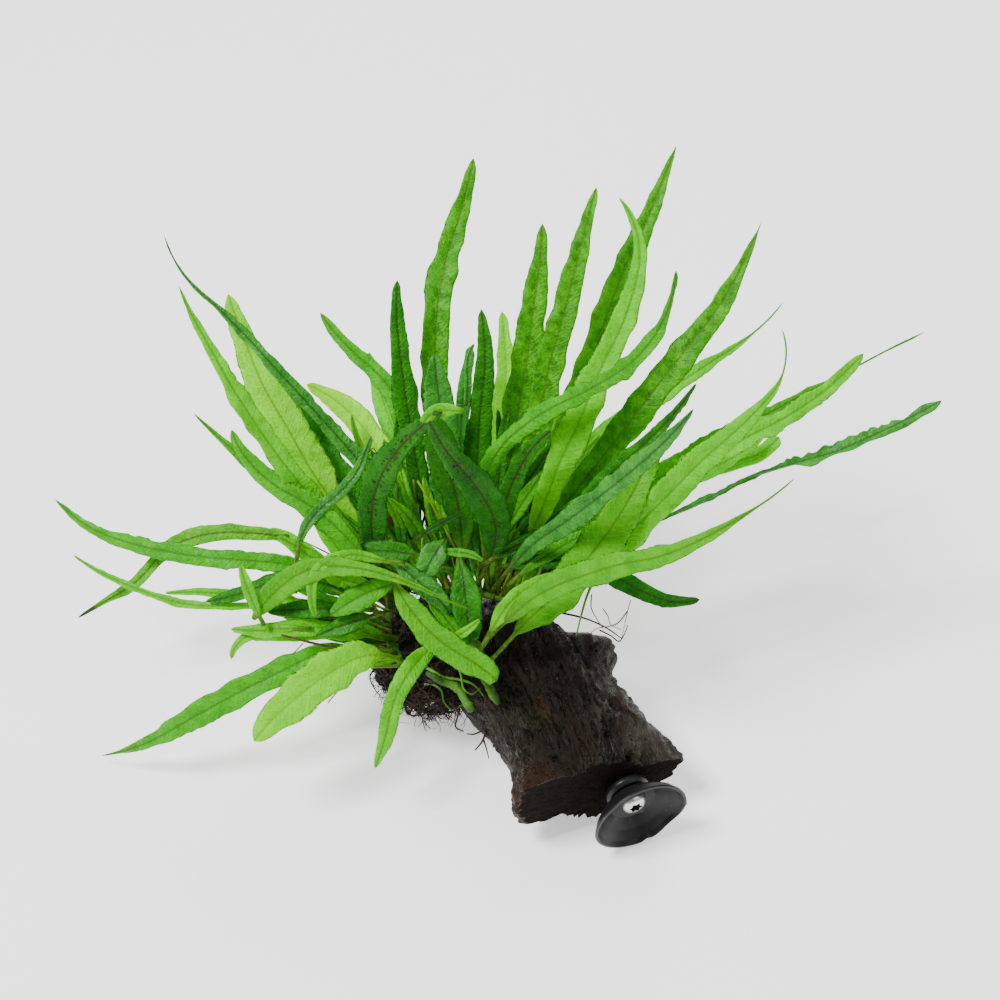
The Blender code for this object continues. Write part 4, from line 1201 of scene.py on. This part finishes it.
class FERN_OT_stalks(bpy.types.Operator):
    """Build the bundles of leafless stalks, green and dead"""

    bl_idname = "fern.stalks"
    bl_label = "Stalks"

    def execute(self, context):
        stalks = context.scene.fern_crown.stalks
        live = stem_material("live stalk", (0.20, 0.32, 0.02), (0.10, 0.15, 0.012), 300.0)
        dead = stem_material("dead stalk", (0.05, 0.022, 0.008), (0.14, 0.075, 0.02), 300.0)
        add_piece("stalks_live", stalk_bundle(stalks, 11), live, "frond")
        add_piece("stalks_dead", stalk_bundle(stalks // 2, 12), dead, "frond")
        return {"FINISHED"}


class FERN_OT_strands(bpy.types.Operator):
    """Build the single strands: twigs, straw-like rootlets and curled green stems"""

    bl_idname = "fern.strands"
    bl_label = "Twigs and curled stems"

    def execute(self, context):
        kinds = {
            "twig": ("roots", "twig bark", (0.016, 0.008, 0.005), (0.05, 0.024, 0.012), 500.0),
            "straw": ("roots", "dry rootlet", (0.20, 0.15, 0.05), (0.10, 0.05, 0.02), 400.0),
            "stem": ("rhizome", "green stem", (0.10, 0.30, 0.01), (0.05, 0.14, 0.006), 300.0),
        }
        for kind, (slot, *look) in kinds.items():
            radii, courses = zip(*STRANDS[kind])
            paths = np.array([smooth_path(in_fan(course), 40) for course in courses])
            body = many_tubes(paths, np.array(radii)[:, None] * np.linspace(1, 0.5, 40), 8)
            add_piece("strands_" + kind, body, stem_material(*look), slot)
        return {"FINISHED"}


class FERN_OT_stage(bpy.types.Operator):
    """Set up the floor, the lights and the camera"""

    bl_idname = "fern.stage"
    bl_label = "Stage"

    def execute(self, context):
        scene, settings = context.scene, context.scene.fern_stage
        glow = {"Emission Color": (1.0, 1.0, 1.0, 1.0), "Emission Strength": settings.floor_glow}
        mesh = bpy.data.meshes.new("floor")
        corners = [(x * FLOOR_REACH, y * FLOOR_REACH, 0) for x, y in ((-1, -1), (1, -1), (1, 1), (-1, 1))]
        mesh.from_pydata(corners, [], [(0, 1, 2, 3)])
        mesh.materials.append(Shader("pale floor").finish((0.95, 0.95, 0.95, 1.0), 0.9, sockets=glow))
        floor = bpy.data.objects.new("floor", mesh)
        floor.location.z = -FLOOR_DROP
        scene.collection.objects.link(floor)
        floor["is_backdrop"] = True
        scene.world = bpy.data.worlds.new("studio")
        scene.world.use_nodes = True
        sky = scene.world.node_tree.nodes["Background"]
        sky.inputs["Color"].default_value = (1.0, 1.0, 1.0, 1.0)
        sky.inputs["Strength"].default_value = settings.sky
        for light in LIGHTS:
            add_light(*light, settings.target)
        data = bpy.data.cameras.new("camera")
        data.lens, data.clip_start = settings.lens, 0.05
        camera = bpy.data.objects.new("camera", data)
        back = Vector((0, -math.cos(settings.elevation), math.sin(settings.elevation)))
        camera.location = Vector(settings.target) + back * settings.distance
        camera.rotation_euler = (math.pi / 2 - settings.elevation, 0, 0)
        scene.collection.objects.link(camera)
        scene.camera = camera
        return {"FINISHED"}


SETTINGS = {
    "fern_wood": WoodSettings,
    "fern_hardware": HardwareSettings,
    "fern_roots": RootSettings,
    "fern_leaf": LeafSettings,
    "fern_crown": CrownSettings,
    "fern_stage": StageSettings,
}
STEPS = (
    FERN_OT_stump,
    FERN_OT_hardware,
    FERN_OT_roots,
    FERN_OT_rhizomes,
    FERN_OT_fronds,
    FERN_OT_sprigs,
    FERN_OT_stalks,
    FERN_OT_strands,
    FERN_OT_stage,
)


class FERN_PT_panel(bpy.types.Panel):
    """The fern's steps, in order"""

    bl_idname = "FERN_PT_panel"
    bl_label = "Java fern"
    bl_space_type = "VIEW_3D"
    bl_region_type = "UI"
    bl_category = "Fern"

    def draw(self, context):
        for step in STEPS:
            self.layout.operator(step.bl_idname)
        for name, group in SETTINGS.items():
            box = self.layout.box()
            for prop in group.__annotations__:
                box.prop(getattr(context.scene, name), prop)


def register():
    for kind in (*SETTINGS.values(), *STEPS, FERN_PT_panel):
        bpy.utils.register_class(kind)
    for name, group in SETTINGS.items():
        setattr(bpy.types.Scene, name, PointerProperty(type=group))


def unregister():
    for name in SETTINGS:
        delattr(bpy.types.Scene, name)
    for kind in (FERN_PT_panel, *reversed(STEPS), *SETTINGS.values()):
        bpy.utils.unregister_class(kind)


def main():
    register()
    for step in STEPS:
        group, name = step.bl_idname.split(".")
        getattr(getattr(bpy.ops, group), name)()
    boxes = {"cad": CAD_BOX, "scene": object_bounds()}
    {name: [list(corner) for corner in box] for name, box in boxes.items()}


if __name__ == "__main__":
    main()
